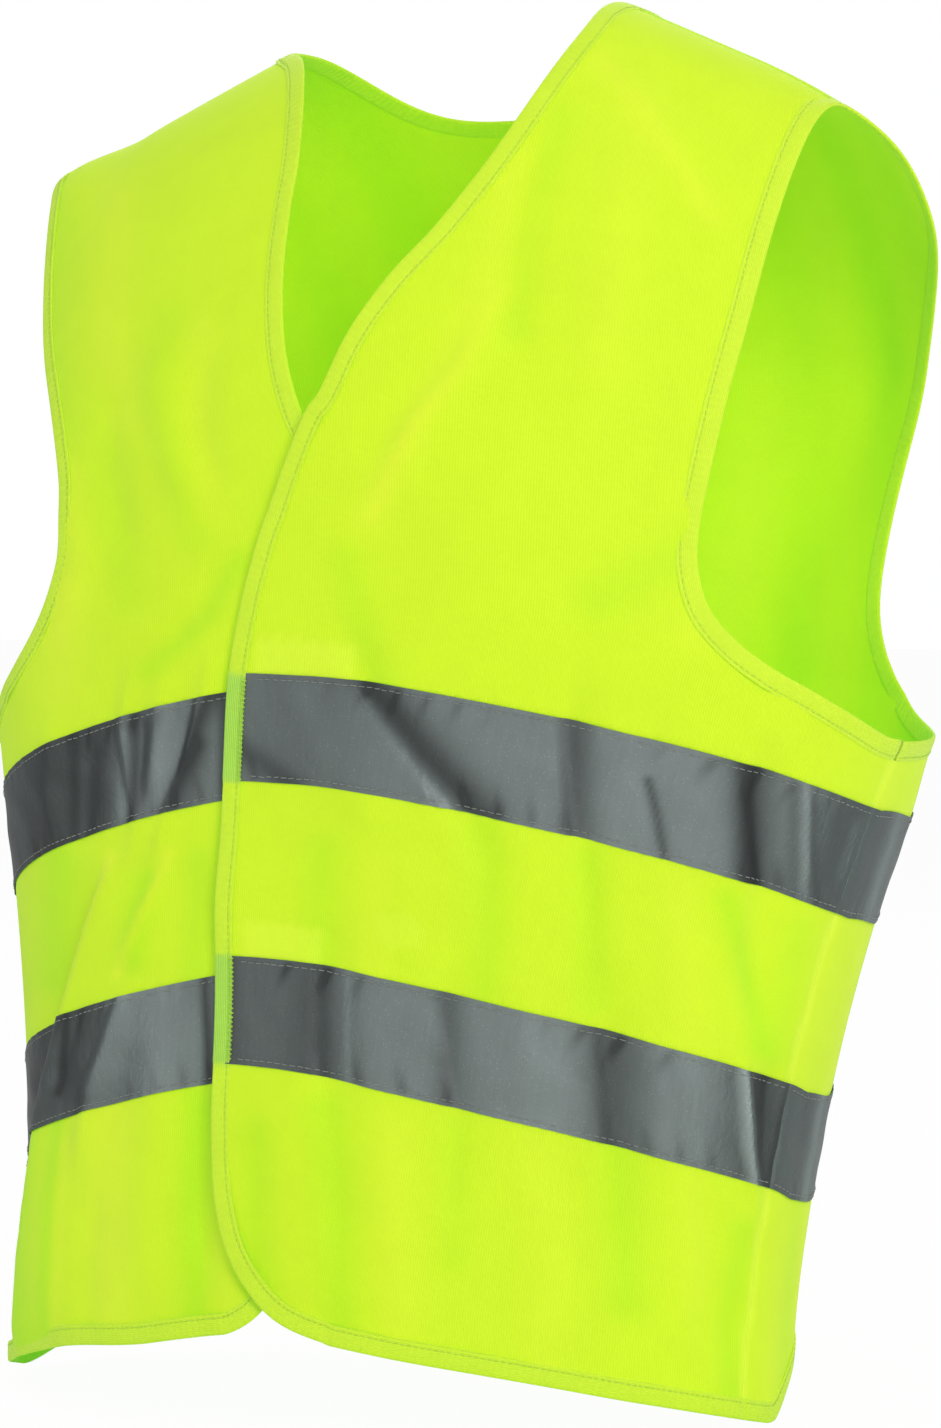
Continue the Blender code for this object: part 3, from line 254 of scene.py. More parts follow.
def in_view(p):
    """View coordinates of surface points, on a frame 941 wide and 1428 high."""
    v = p - EYE
    depth = -(v @ BACK)
    return np.stack([470.5 + FOCAL * (v @ RIGHT) / depth, 714 - FOCAL * (v @ UP) / depth], -1)


# ---------------------------------------------------------------- drape
def line_distance(xy, pts):
    """Signed distance to a polyline (+ on its right when drawn downwards = towards larger x) and
    the position along it from 0 to 1."""
    pts = np.array(pts, float)
    best = np.full(len(xy), 1e9)
    sign = np.ones(len(xy))
    along = np.zeros(len(xy))
    seg = np.linalg.norm(np.diff(pts, axis=0), axis=1)
    cum = np.concatenate([[0], np.cumsum(seg)])
    for i in range(len(pts) - 1):
        a, d = pts[i], pts[i + 1] - pts[i]
        t = np.clip(((xy - a) @ d) / (d @ d), 0, 1)
        r = xy - (a + t[:, None] * d)
        dist = np.hypot(r[:, 0], r[:, 1])
        better = dist < best
        side = np.where(d[0] * r[:, 1] - d[1] * r[:, 0] > 0, -1.0, 1.0)
        best = np.where(better, dist, best)
        sign = np.where(better, side, sign)
        along = np.where(better, (cum[i] + t * seg[i]) / cum[-1], along)
    return best * sign, along


def crease(xy, pts, width, amp, fade=0.2, skew=0.0):
    """Soft ridge (or valley) along a line, dying out at both ends; skew makes one flank steeper."""
    d, t = line_distance(xy, pts)
    w = width * (1 + skew * np.sign(d))
    ends = smooth(t / fade) * smooth((1 - t) / fade) if fade > 0 else 1.0
    return 0.001 * FOLD_DEPTH * amp * np.exp(-(d / w) ** 2) * ends


def step_fold(xy, pts, steep, reach_near, reach_far, near, far, fade=0.15):
    """Overlap-like fold: raised on the + side of the line, sunk on the other, steep between."""
    d, t = line_distance(xy, pts)
    k = 0.5 * (1 + np.tanh(d / steep))
    up = near * k * np.exp(-np.clip(d, 0, None) / reach_near)
    down = far * (1 - k) * np.exp(-np.clip(-d, 0, None) / reach_far)
    ends = smooth(t / fade) * smooth((1 - t) / fade) if fade > 0 else 1.0
    return 0.001 * (up + down) * ends


LEFT_CREASES = [
    # upper tape and above
    ([(340, 600), (375, 700), (430, 770), (470, 822), (500, 900)], 17, -2.2, 0.25, 0.35),
    ([(300, 720), (350, 770), (400, 850)], 22, 1.3, 0.3, 0.0),
    ([(575, 640), (568, 740), (572, 800), (582, 850), (590, 1000)], 15, -2.0, 0.25, 0.4),
    ([(625, 700), (630, 860)], 20, 0.9, 0.3, 0.0),
    ([(652, 780), (660, 830), (670, 880)], 8, -0.9, 0.3, 0.2),
    ([(770, 730), (757, 800), (765, 880), (752, 950), (760, 1050)], 20, -2.6, 0.2, 0.4),
    ([(806, 770), (804, 840), (806, 905)], 6, 0.9, 0.3, 0.4),
    ([(915, 800), (890, 860), (855, 920)], 9, 1.6, 0.25, 0.3),
    ([(862, 800), (840, 900)], 16, -1.3, 0.3, 0.0),
    # lower tape
    ([(345, 880), (328, 970), (325, 1050), (340, 1150), (345, 1300)], 22, -2.4, 0.2, 0.4),
    ([(385, 940), (372, 1030), (380, 1120)], 18, 1.0, 0.3, 0.0),
    ([(470, 900), (445, 1003), (458, 1100), (452, 1250)], 15, -1.5, 0.25, 0.3),
    ([(520, 950), (530, 1120)], 26, 1.1, 0.3, 0.0),
    ([(588, 930), (605, 1030), (618, 1130), (628, 1300)], 22, -2.3, 0.2, 0.35),
    ([(655, 1000), (668, 1200)], 20, 1.3, 0.3, 0.0),
    ([(700, 1150), (712, 1250), (706, 1380)], 18, -1.6, 0.3, 0.0),
    ([(738, 1040), (744, 1090), (748, 1150), (756, 1230)], 7, 2.2, 0.25, 0.3),
    ([(768, 1050), (772, 1200)], 15, -2.2, 0.25, 0.0),
    ([(806, 1060), (794, 1140), (772, 1215)], 8, 1.9, 0.25, 0.3),
    # lower front
    ([(265, 1120), (262, 1250), (280, 1340)], 20, -1.2, 0.3, 0.0),
    ([(400, 1130), (395, 1250), (405, 1360)], 24, 1.3, 0.3, 0.0),
    ([(540, 1150), (548, 1280), (540, 1390)], 26, 1.4, 0.3, 0.0),
    ([(745, 1250), (738, 1330), (742, 1410)], 16, -1.6, 0.3, 0.0),
    # between the tapes
    ([(400, 840), (412, 900), (404, 980)], 20, 1.0, 0.3, 0.0),
    ([(487, 820), (492, 900), (486, 980)], 20, -1.4, 0.3, 0.2),
    ([(680, 900), (690, 980), (684, 1060)], 24, 1.0, 0.3, 0.0),
    # chest
    ([(505, 290), (468, 370), (420, 425), (378, 515)], 16, 2.2, 0.25, 0.3),
    ([(455, 330), (410, 400), (350, 480)], 20, -1.5, 0.3, 0.0),
    ([(560, 120), (522, 210), (512, 300), (520, 380)], 26, -1.4, 0.25, 0.2),
    ([(640, 110), (618, 230), (600, 360), (560, 480)], 30, 1.6, 0.3, 0.0),
    ([(600, 60), (655, 130), (705, 205)], 15, 1.3, 0.3, 0.2),
    ([(640, 40), (700, 110), (760, 170)], 14, -1.2, 0.3, 0.0),
    ([(840, 360), (790, 450), (700, 540), (620, 590)], 30, -1.8, 0.3, 0.2),
    ([(850, 430), (780, 540), (700, 620)], 26, 1.5, 0.3, 0.0),
    ([(860, 560), (820, 650), (780, 740)], 20, -1.4, 0.3, 0.0),
]
RIGHT_CREASES = [
    ([(214, 640), (200, 720), (172, 805), (150, 880)], 9, 2.0, 0.2, 0.35),
    ([(165, 660), (160, 740), (150, 800)], 9, 1.3, 0.3, 0.0),
    ([(142, 690), (140, 760), (134, 830)], 10, -1.6, 0.3, 0.0),
    ([(190, 700), (180, 780), (165, 850)], 8, -1.3, 0.3, 0.0),
    ([(55, 700), (50, 780), (56, 860)], 12, 1.2, 0.3, 0.0),
    ([(88, 720), (84, 800), (80, 860)], 14, -1.3, 0.3, 0.0),
    ([(172, 850), (150, 910), (122, 975)], 9, 1.8, 0.3, 0.3),
    ([(136, 970), (118, 1030), (98, 1090), (80, 1180)], 10, 2.0, 0.25, 0.3),
    ([(88, 990), (78, 1040), (66, 1100)], 7, -1.2, 0.3, 0.0),
    ([(165, 990), (160, 1080), (150, 1200), (140, 1330)], 22, 1.6, 0.25, 0.0),
    ([(208, 980), (203, 1080), (200, 1200), (203, 1330)], 15, -2.0, 0.25, 0.2),
    ([(60, 1150), (52, 1250), (48, 1350)], 14, 1.6, 0.3, 0.0),
    ([(100, 1180), (92, 1270), (90, 1360)], 14, -1.6, 0.3, 0.0),
    ([(170, 320), (155, 390), (178, 470), (196, 540)], 20, 1.5, 0.25, 0.2),
    ([(205, 330), (196, 420), (215, 510)], 16, -1.5, 0.3, 0.0),
    ([(110, 380), (108, 470), (130, 570)], 16, -1.4, 0.3, 0.0),
    ([(70, 480), (80, 560), (60, 640)], 16, 1.4, 0.3, 0.0),
    ([(230, 560), (200, 610), (150, 650)], 14, -1.2, 0.3, 0.0),
]


# painted light and shade on the tape along the folds, + lighter, - darker: (line, half width, amount, steeper flank)
LEFT_TAPE_PAINTED_LIGHT_AND_SHADE = [
    ([(362, 672), (417, 742), (484, 818)], 20, -0.50, 0.3), ([(300, 650), (308, 800)], 62, -0.20, 0.0), ([(228, 735), (268, 762), (300, 788)], 13, -0.28, 0.0),
    ([(310, 690), (332, 790)], 16, 0.10, 0.0),
    ([(570, 650), (571, 830)], 18, -0.38, 0.3), ([(648, 780), (657, 813), (668, 880)], 5, -0.45, 0.0),
    ([(612, 700), (620, 850)], 20, 0.08, 0.0), ([(746, 750), (749, 905)], 23, -0.58, 0.2),
    ([(805, 770), (804, 905)], 3.5, 0.35, 0.0), ([(795, 790), (792, 905)], 7, -0.20, 0.0),
    ([(912, 815), (884, 872), (854, 925)], 6, 0.75, 0.0), ([(880, 810), (850, 900)], 14, 0.12, 0.0),
    ([(922, 850), (888, 920)], 9, -0.30, 0.0),
    ([(327, 900), (323, 1010), (327, 1120)], 25, -0.45, -0.2), ([(353, 930), (351, 1110)], 4, 0.30, 0.0),
    ([(232, 950), (236, 1060)], 16, -0.25, 0.0), ([(268, 950), (270, 1060)], 34, -0.24, 0.0), ([(445, 950), (446, 1120)], 15, -0.32, 0.2),
    ([(540, 990), (545, 1130)], 20, 0.06, 0.0), ([(604, 1000), (612, 1150)], 30, -0.45, 0.2),
    ([(690, 1020), (692, 1180)], 24, 0.22, 0.0), ([(741, 1060), (747, 1140), (753, 1195)], 4, 0.85, 0.0),
    ([(770, 1060), (771, 1200)], 17, -0.55, 0.0), ([(802, 1080), (792, 1140), (774, 1205)], 4, 0.75, 0.0),
    ([(822, 1080), (806, 1190)], 10, -0.25, 0.0),
]
RIGHT_TAPE_PAINTED_LIGHT_AND_SHADE = [
    ([(60, 700), (56, 850)], 30, -0.45, 0.0), ([(75, 720), (74, 840)], 6, -0.20, 0.0),
    ([(104, 700), (100, 840)], 18, -0.38, 0.0), ([(124, 735), (123, 820)], 6, 0.35, 0.0),
    ([(137, 700), (134, 830)], 6, -0.45, 0.0), ([(163, 705), (160, 800)], 10, 0.22, 0.0),
    ([(216, 680), (196, 745), (170, 805)], 9, -0.55, 0.3), ([(205, 745), (190, 805)], 9, -0.20, 0.0),
    ([(225, 690), (226, 800)], 7, -0.35, 0.0),
    ([(48, 990), (30, 1110)], 9, -0.30, 0.0), ([(66, 995), (52, 1050), (40, 1105)], 3.5, 0.50, 0.0),
    ([(78, 995), (68, 1092)], 5, -0.50, 0.0), ([(98, 990), (84, 1095)], 16, -0.35, 0.0),
    ([(132, 985), (114, 1035), (98, 1085)], 7, 0.45, 0.0), ([(160, 985), (154, 1090)], 30, 0.34, 0.0),
    ([(206, 970), (205, 1090)], 5, -0.50, 0.0), ([(222, 970), (222, 1090)], 8, -0.20, 0.0),
]
# painted light and shade on the cloth along the folds, same columns: + greener painted shade, - yellower painted light
LEFT_CLOTH_PAINTED_LIGHT_AND_SHADE = [
    ([(520, 130), (500, 260), (440, 380), (372, 520)], 20, -0.5, 0.0), ([(560, 120), (525, 220), (515, 330)], 20, 0.4, 0.0),
    ([(505, 290), (468, 370), (420, 425), (378, 515)], 9, -0.6, 0.0), ([(600, 60), (660, 140), (712, 215)], 14, -0.6, 0.0),
    ([(640, 110), (620, 230), (600, 360)], 30, -0.3, 0.0), ([(840, 380), (780, 470), (690, 550), (600, 600)], 26, 0.5, 0.0),
    ([(850, 440), (780, 550), (700, 630)], 22, -0.4, 0.0), ([(350, 560), (372, 650), (400, 720)], 18, 0.5, 0.0),
    ([(330, 850), (322, 960)], 20, 0.6, 0.0), ([(385, 860), (380, 960)], 18, -0.4, 0.0),
    ([(487, 830), (492, 920), (486, 990)], 18, 0.6, 0.0), ([(588, 860), (594, 1000)], 18, 0.6, 0.0),
    ([(727, 900), (757, 1010), (760, 1047)], 14, 0.9, 0.0), ([(680, 890), (690, 1040)], 22, -0.4, 0.0),
    ([(800, 930), (775, 1060)], 14, 0.5, 0.0),
    ([(330, 1110), (338, 1200), (345, 1330)], 20, 0.7, 0.0), ([(262, 1130), (262, 1250), (282, 1340)], 16, 0.6, 0.0),
    ([(400, 1130), (395, 1250), (405, 1360)], 24, -0.5, 0.0), ([(458, 1130), (455, 1260)], 16, 0.4, 0.0),
    ([(540, 1150), (548, 1280), (540, 1390)], 26, -0.4, 0.0), ([(620, 1150), (628, 1300)], 22, 0.7, 0.0),
    ([(690, 1180), (694, 1300)], 18, -0.4, 0.0), ([(742, 1230), (730, 1330), (728, 1400)], 14, 0.7, 0.0),
    ([(780, 1200), (778, 1330)], 14, 0.6, 0.0),
]
RIGHT_CLOTH_PAINTED_LIGHT_AND_SHADE = [
    ([(62, 230), (50, 330), (62, 430)], 20, 0.5, 0.0), ([(120, 200), (112, 320), (120, 420)], 22, -0.5, 0.0),
    ([(170, 320), (158, 390), (178, 470), (196, 540)], 20, 0.35, 0.0), ([(205, 330), (196, 420), (215, 510)], 16, -0.4, 0.0),
    ([(110, 400), (108, 480), (130, 590)], 22, 0.4, 0.0), ([(70, 480), (80, 560), (60, 640)], 14, -0.4, 0.0),
    ([(240, 560), (205, 620), (150, 670)], 12, 0.7, 0.0), ([(66, 600), (64, 690)], 30, -0.5, 0.0),
    ([(112, 855), (86, 930), (66, 1003)], 5, -1.2, 0.0), ([(172, 850), (150, 910), (122, 975)], 5, -1.0, 0.0),
    ([(148, 880), (136, 960)], 14, 0.9, 0.0), ([(60, 860), (52, 980)], 20, 0.8, 0.0), ([(200, 860), (196, 980)], 14, 0.6, 0.0),
    ([(32, 1120), (24, 1260), (30, 1370)], 17, 0.9, 0.0), ([(66, 1110), (58, 1230), (52, 1350)], 7, 0.8, 0.0),
    ([(72, 1140), (66, 1260), (60, 1340)], 5, -0.6, 0.0), ([(115, 1110), (112, 1240), (115, 1340)], 30, -0.8, 0.0),
    ([(196, 1100), (190, 1220), (196, 1330)], 14, 0.9, 0.0), ([(222, 1240), (235, 1310)], 12, -0.4, 0.0),
]


# sum of painted light and shade bands from one table
def bands(xy, table):
    total = 0.0
    for pts, width, amount, skew in table:
        d, _ = line_distance(xy, pts)
        total = total + amount * np.exp(-(d / (width * (1 + skew * np.sign(d)))) ** 2)
    return total


def uneven_painted_light_and_shade(u, q, k):
    """Soft uneven bands of painted light and shade for the parts the tables don't cover."""
    return np.sin(9 * u + 1.2 + 5 * q + k) * np.sin(4 * u - 0.7 + 9 * q) + 0.6 * np.sin(23 * u + 2 * np.sin(7 * q + k))


def pucker_painted_shade(u, q):
    """Painted shade of short dents where the stitching gathers the tape along both edges."""
    s = arc_of(u)
    out = np.zeros(len(s))
    for lv in TAPE_LEVELS:
        for k, row in enumerate((0.0025, TAPE_WIDTH - 0.0026)):
            d = (q - lv - row) * (1 if k == 0 else -1)
            near = np.exp(-(np.clip(d, 0, None) / 0.0085) ** 2) * np.exp(-(np.clip(-d, 0, None) / 0.0016) ** 2)
            near = near * (np.abs(q - lv - 0.025) < 0.03)
            wave = np.sin(2 * np.pi * s / 0.0175 + 3 * np.sin(s * 31 + 2 * k + 9 * lv) + 120 * d)
            out = out + near * np.clip(wave, 0, 1) ** 2 * smooth(0.35 + 0.9 * np.sin(s * 43 + 2.1 * k + 40 * lv))
    return -0.34 * out


def tape_shade(panel, u, q):
    w = wrap(u)
    return tape_painted_light_and_shade(panel, u, q, w) + pucker_painted_shade(u, q)


def tape_painted_light_and_shade(panel, u, q, w):
    # painted light where the tapes turn round the side seams (with a painted dark line at the wearer's left seam),
    # painted bands of light and shade elsewhere
    turned_painted_light = np.exp(-((np.abs(w) - 1.70) / 0.26) ** 2)
    if panel == 'B':
        return 0.22 * uneven_painted_light_and_shade(u, q, 0.6) * (1 - turned_painted_light) + turned_painted_light * np.where(w > 0, 1.0 + 0.9 * np.exp(-((np.degrees(w) - 96) / 2.2) ** 2) - 0.5 * np.exp(-((np.degrees(w) - 91) / 2.5) ** 2), 0.2)
    f = bands(in_view(body(panel, w, q)), LEFT_TAPE_PAINTED_LIGHT_AND_SHADE if panel == 'L' else RIGHT_TAPE_PAINTED_LIGHT_AND_SHADE)
    return np.where(f < 0, 1.3 * f, f) + (0.55 * turned_painted_light if panel == 'L' else 0.0) - 0.04


# painted light and shade on the cloth folds, carried by the 'tone' attribute: + greener shade, - yellower light
def cloth_painted_light_and_shade(panel, u, q):
    w = wrap(u)
    if panel == 'B':
        return 0.45 * uneven_painted_light_and_shade(u, q, 0.0)
    return bands(in_view(body(panel, w, q)), LEFT_CLOTH_PAINTED_LIGHT_AND_SHADE if panel == 'L' else RIGHT_CLOTH_PAINTED_LIGHT_AND_SHADE)


def soft_folds(u, q):
    """Loose vertical folds all the way round, deeper towards the hem; the same on every panel."""
    low = np.clip(1 - q / 0.36, 0, 1)
    a = 0.00045 + 0.0013 * low
    f = 0.55 * np.sin(5 * u + 0.6 + 1.5 * q) + 0.45 * np.sin(8 * u - 1.1 + 6 * q) \
        + 0.30 * np.sin(13 * u + 2.0 - 9 * q) + 0.14 * np.sin(21 * u + 0.4 + 17 * q)
    return a * f


def back_folds(u, q):
    """Folds of the back: drawn from the shoulder blades down, and across under the neck."""
    w = np.where(u < 0, u + 2 * np.pi, u) - np.pi          # 0 centre back, + towards the right side
    f = 0.0
    for c, lean, width, amp, q0, q1 in ((-0.95, 0.9, 0.085, 2.4, 0.02, 0.36), (-0.62, 0.5, 0.10, -1.9, -0.05, 0.42),
                                        (-0.30, -0.3, 0.08, 1.7, 0.00, 0.46), (0.02, 0.2, 0.10, -2.0, -0.05, 0.40),
                                        (0.33, -0.4, 0.09, 2.0, -0.05, 0.44), (0.66, 0.3, 0.09, -1.7, 0.0, 0.40),
                                        (0.98, -0.8, 0.08, 2.2, 0.02, 0.36)):
        d = (w - c - lean * (q - 0.2)) / width
        f = f + amp * np.exp(-d * d) * smooth((q - q0) / 0.10) * smooth((q1 - q) / 0.12)
    # drag lines from the shoulder tips and the soft roll under the neck
    for c, lean, width, amp in ((-0.55, -1.5, 0.07, 1.4), (-0.36, -1.3, 0.06, -1.1), (0.55, 1.5, 0.07, 1.3),
                                (0.38, 1.2, 0.06, -1.1)):
        d = (w - c - lean * (q - 0.50)) / width
        f = f + amp * np.exp(-d * d) * smooth((q - 0.37) / 0.08) * smooth((0.58 - q) / 0.08)
    f = f - 1.2 * np.exp(-((q - 0.525 + 0.05 * w * w) / 0.012) ** 2) * np.exp(-(w / 0.35) ** 4)
    return 0.001 * f


def free_edge(q):
    """Angle of the left front's free edge at a height."""
    e = np.array([(d, v) for d, v in LEFT_EDGE if v > 0.02])
    return np.radians(np.interp(q, e[:, 1], e[:, 0]))


def drape(panel, u, q, p):
    h = ridge_share(panel, p, u, q)
    calm = smooth(h / 0.10)
    su = seam_u(np.clip(q, 0, UNDERARM))
    arc = 0.21 * np.abs(np.abs(u) - su)                    # distance from the side seam, metres
    away = np.where(q < UNDERARM + 0.02, smooth(arc / 0.020), 1.0)
    d = soft_folds(u, q)
    if panel == 'B':
        d = d + back_folds(u, q) * away
    else:
        xy = in_view(p)
        f = sum(crease(xy, *c) for c in (LEFT_CREASES if panel == 'L' else RIGHT_CREASES))
        if panel == 'R':
            f = f + step_fold(xy, [(112, 850), (86, 930), (66, 1003), (40, 1112), (24, 1260), (16, 1375)],
                              4.0, 60, 40, 6.5, -4.0, 0.10)
            f = f + step_fold(xy, [(128, 640), (118, 725), (132, 815), (120, 880)], 4.0, 34, 34, 2.4, -1.2, 0.25)
            # where it is covered it follows the left front lying on it, sunk by a little more
            under = smooth((u - free_edge(q) + 0.03) / 0.09)
            over = sum(crease(xy, *c) for c in LEFT_CREASES)
            f = f * (1 - under) + (np.minimum(over, 0.0) - 0.0002) * under
        else:
            # the lapped edge lifts a little between the tapes and at the corner
            f = f + 0.0030 * np.exp(-((xy[:, 1] - 905) / 55) ** 2) * np.exp(-((xy[:, 0] - 228) / 34) ** 2)
            f = f + 0.0022 * np.exp(-((xy[:, 1] - 1260) / 80) ** 2) * np.exp(-((xy[:, 0] - 205) / 50) ** 2)
        d = d + f * away
    d = d * calm
    # each side seam lies in a shallow groove
    d = d - 0.0004 * np.exp(-(arc / 0.0026) ** 2) * np.where(q < UNDERARM + 0.01, 1.0, 0.0)
    return d


def shoulder_lift(p):
    """The wearer's right shoulder stands up square at its outer end before it turns down."""
    up = 0.014 * smooth((-p[:, 0] - 0.165) / 0.062) * smooth((p[:, 2] - 0.4515) / 0.075)
    return np.stack([0 * up, 0 * up, up], 1)


def surf(panel, u, q, off=0.0):
    """Draped cloth point at a height above the cloth's inner face, and the surface normal."""
    u, q = np.asarray(u, float), np.asarray(q, float)
    w = wrap(u)
    p, n = frame_at(panel, w, q)
    lift = lap_offset(panel, w, q) + drape(panel, w, q, p) + off
    return p + shoulder_lift(p) + n * np.asarray(lift)[:, None] + SHIFT, n


# arc length round the body at chest level, for even columns and for the weave
_U = np.radians(np.linspace(-180, 180, 1441))
_C = body('B', _U, np.full(_U.shape, 0.25))
_ARC = np.concatenate([[0], np.cumsum(np.linalg.norm(np.diff(_C[:, :2], axis=0), axis=1))])
_ARC = _ARC - np.interp(0.0, _U, _ARC)


def arc_of(u):
    u = np.asarray(u, float)
    over = u > np.pi
    return np.where(over, np.interp(wrap(u), _U, _ARC) + 2 * _ARC[-1], np.interp(u, _U, _ARC))


def u_of_arc(s):
    s = np.asarray(s, float)
    over = s > _ARC[-1]
    return np.where(over, np.interp(s - 2 * _ARC[-1], _ARC, _U) + 2 * np.pi, np.interp(s, _ARC, _U))


# ---------------------------------------------------------------- curves
def catmull(points, per=20):
    pts = np.array(points, float)
    pts = np.vstack([2 * pts[0] - pts[1], pts, 2 * pts[-1] - pts[-2]])
    out = []
    t = (np.arange(per) / per)[:, None]
    for i in range(1, len(pts) - 2):
        p0, p1, p2, p3 = pts[i - 1:i + 3]
        out.append(0.5 * (2 * p1 + (p2 - p0) * t + (2 * p0 - 5 * p1 + 4 * p2 - p3) * t ** 2
                          + (3 * p1 - p0 - 3 * p2 + p3) * t ** 3))
    out.append(pts[-2:-1])
    return np.vstack(out)


def spaced(panel, uq, step):
    """Curve resampled at an even distance along the cloth."""
    uq = np.array(uq, float)
    p = body(panel, wrap(uq[:, 0]), uq[:, 1])
    s = np.concatenate([[0], np.cumsum(np.linalg.norm(np.diff(p, axis=0), axis=1))])
    n = max(2, int(round(s[-1] / step)))
    t = np.linspace(0, s[-1], n + 1)
    return np.stack([np.interp(t, s, uq[:, 0]), np.interp(t, s, uq[:, 1])], 1)


def shoulder_curve(panel, sgn, tip):
    u0, u1 = u_for_x_on_ridge(panel, sgn * NECK_HALF), u_for_x_on_ridge(panel, sgn * tip)
    us = np.linspace(u0, u1, 60)
    uq = np.stack([us, ridge_q(panel, us) - 1e-6], 1)
    if panel == 'B' and sgn < 0:
        uq[:, 0] += 2 * np.pi
    return uq


def front_curves(side):
    sgn = 1.0 if side == 'L' else -1.0
    pts = LEFT_EDGE if side == 'L' else RIGHT_EDGE
    tip = TIP_L if side == 'L' else TIP_R
    sh = shoulder_curve(side, sgn, tip)
    edge = [(sgn * math.radians(d), q) for d, q in [(SEAM_ANGLE[0], 0.0)] + pts] + [tuple(sh[0])]
    edge = catmull(edge)
    edge[:, 1] = np.clip(edge[:, 1], 0, None)
    arm = [(sgn * float(seam_u(UNDERARM)), UNDERARM)] + [(sgn * math.radians(d), q) for d, q in
                                                       (LEFT_ARM if side == 'L' else RIGHT_ARM)]
    arm += [(sh[-1][0], sh[-1][1])]
    arm = catmull(arm)
    qs = np.linspace(0, UNDERARM, 120)
    seam = np.stack([sgn * seam_u(qs), qs], 1)
    return {'edge': edge, 'shoulder': sh, 'arm': arm, 'seam': seam}


def back_curves():
    shl, shr = shoulder_curve('B', 1.0, TIP_L), shoulder_curve('B', -1.0, TIP_R)
    t = np.linspace(0, 1, 90)
    u = shl[0][0] + (shr[0][0] - shl[0][0]) * t
    q = shl[0][1] + (shr[0][1] - shl[0][1]) * t - BACK_NECK_DROP * (1 - np.abs(2 * t - 1) ** 3) ** 0.75
    neck = np.stack([u, q], 1)
    arms = {}
    for side, sgn, sh in (('L', 1.0, shl), ('R', -1.0, shr)):
        pts = [(float(seam_u(UNDERARM)), UNDERARM)] + [(math.radians(d), v) for d, v in BACK_ARM]
        if sgn < 0:
            pts = [(2 * math.pi - a, v) for a, v in pts]
        else:
            pts += [(math.radians(121.0), 0.5830), (math.radians(124.5), 0.6005)]
        pts += [(sh[-1][0], sh[-1][1])]
        arms[side] = catmull(pts)
    qs = np.linspace(0, UNDERARM, 120)
    sl = np.stack([seam_u(qs), qs], 1)
    sr = np.stack([2 * np.pi - seam_u(qs), qs], 1)
    hu = np.linspace(sl[0][0], sr[0][0], 300)
    first, second = np.degrees(hu) - SEAM_ANGLE[0], 360 - SEAM_ANGLE[0] - np.degrees(hu)
    hem = np.stack([hu, BACK_HEM_RISE * smooth((first - 8) / 26) * smooth(second / 24)], 1)
    return {'neck': neck, 'arm_L': arms['L'], 'arm_R': arms['R'], 'seam_L': sl, 'seam_R': sr, 'hem': hem,
            'sh_L': shl, 'sh_R': shr}


# ---------------------------------------------------------------- mesh helpers
def chart(panel, u, q, p):
    w = wrap(u)
    flat, n, up = flat_depth(w, q)
    h = ridge_share(panel, p, w, q)
    den = np.where(np.abs(flat - RIDGE_Y) > 1e-4, flat - RIDGE_Y, 1.0)
    side = np.where(np.abs(flat - RIDGE_Y) > 1e-4, (p[:, 1] - RIDGE_Y) / den, 1.0)
    turn = np.where(h >= 1, np.pi / 2 + (h - 1),
                    np.where(h > 0.6, np.arccos(np.clip(1 - h, -1, 1)),
                             np.arctan2(np.clip(side, -0.05, 1.2), 1 - h)))
    return np.stack([np.asarray(u) * 0.2, -turn * 0.26], 1)


def in_polygon(pts, poly):
    a, b = poly, np.roll(poly, -1, axis=0)
    out = np.zeros(len(pts), int)
    for i in range(len(a)):
        (x0, y0), (x1, y1) = a[i], b[i]
        if y0 == y1:
            continue
        hit = ((y0 > pts[:, 1]) != (y1 > pts[:, 1])) & \
              (pts[:, 0] < (x1 - x0) * (pts[:, 1] - y0) / (y1 - y0) + x0)
        out += hit
    return out % 2 == 1


def clear_of(pts, poly):
    a, b = poly, np.roll(poly, -1, axis=0)
    best = np.full(len(pts), 1e9)
    for i in range(len(a)):
        d = b[i] - a[i]
        L = max(d @ d, 1e-14)
        t = np.clip(((pts - a[i]) @ d) / L, 0, 1)
        r = pts - (a[i] + t[:, None] * d)
        best = np.minimum(best, np.hypot(r[:, 0], r[:, 1]))
    return best


def add_mesh(name, verts, faces, mat, uv=None, attrs=None, sharp=42, closed=True):
    verts = np.asarray(verts, float)
    me = bpy.data.meshes.new(name)
    if closed:
        vol = 0.0
        for size in (3, 4):
            fs = np.array([f for f in faces if len(f) == size], int)
            if len(fs):
                for k in range(1, size - 1):
                    a, b, c = verts[fs[:, 0]], verts[fs[:, k]], verts[fs[:, k + 1]]
                    vol += float(np.einsum('ij,ij->i', a, np.cross(b, c)).sum())
        if vol < 0:
            faces = [tuple(reversed(f)) for f in faces]
    me.from_pydata(verts.tolist(), [], [tuple(int(i) for i in f) for f in faces])
    me.update()
    for p in me.polygons:
        p.use_smooth = True
    if uv is not None:
        layer = me.uv_layers.new(name="cloth")
        idx = np.zeros(len(me.loops), np.int32)
        me.loops.foreach_get("vertex_index", idx)
        layer.data.foreach_set("uv", np.asarray(uv, np.float32)[idx].ravel())
    for key, val in (attrs or {}).items():
        at = me.attributes.new(key, 'FLOAT', 'POINT')
        at.data.foreach_set("value", np.asarray(val, np.float32))
    me.set_sharp_from_angle(angle=math.radians(sharp))
    me.materials.append(mat)
    ob = bpy.data.objects.new(name, me)
    bpy.context.scene.collection.objects.link(ob)
    return ob


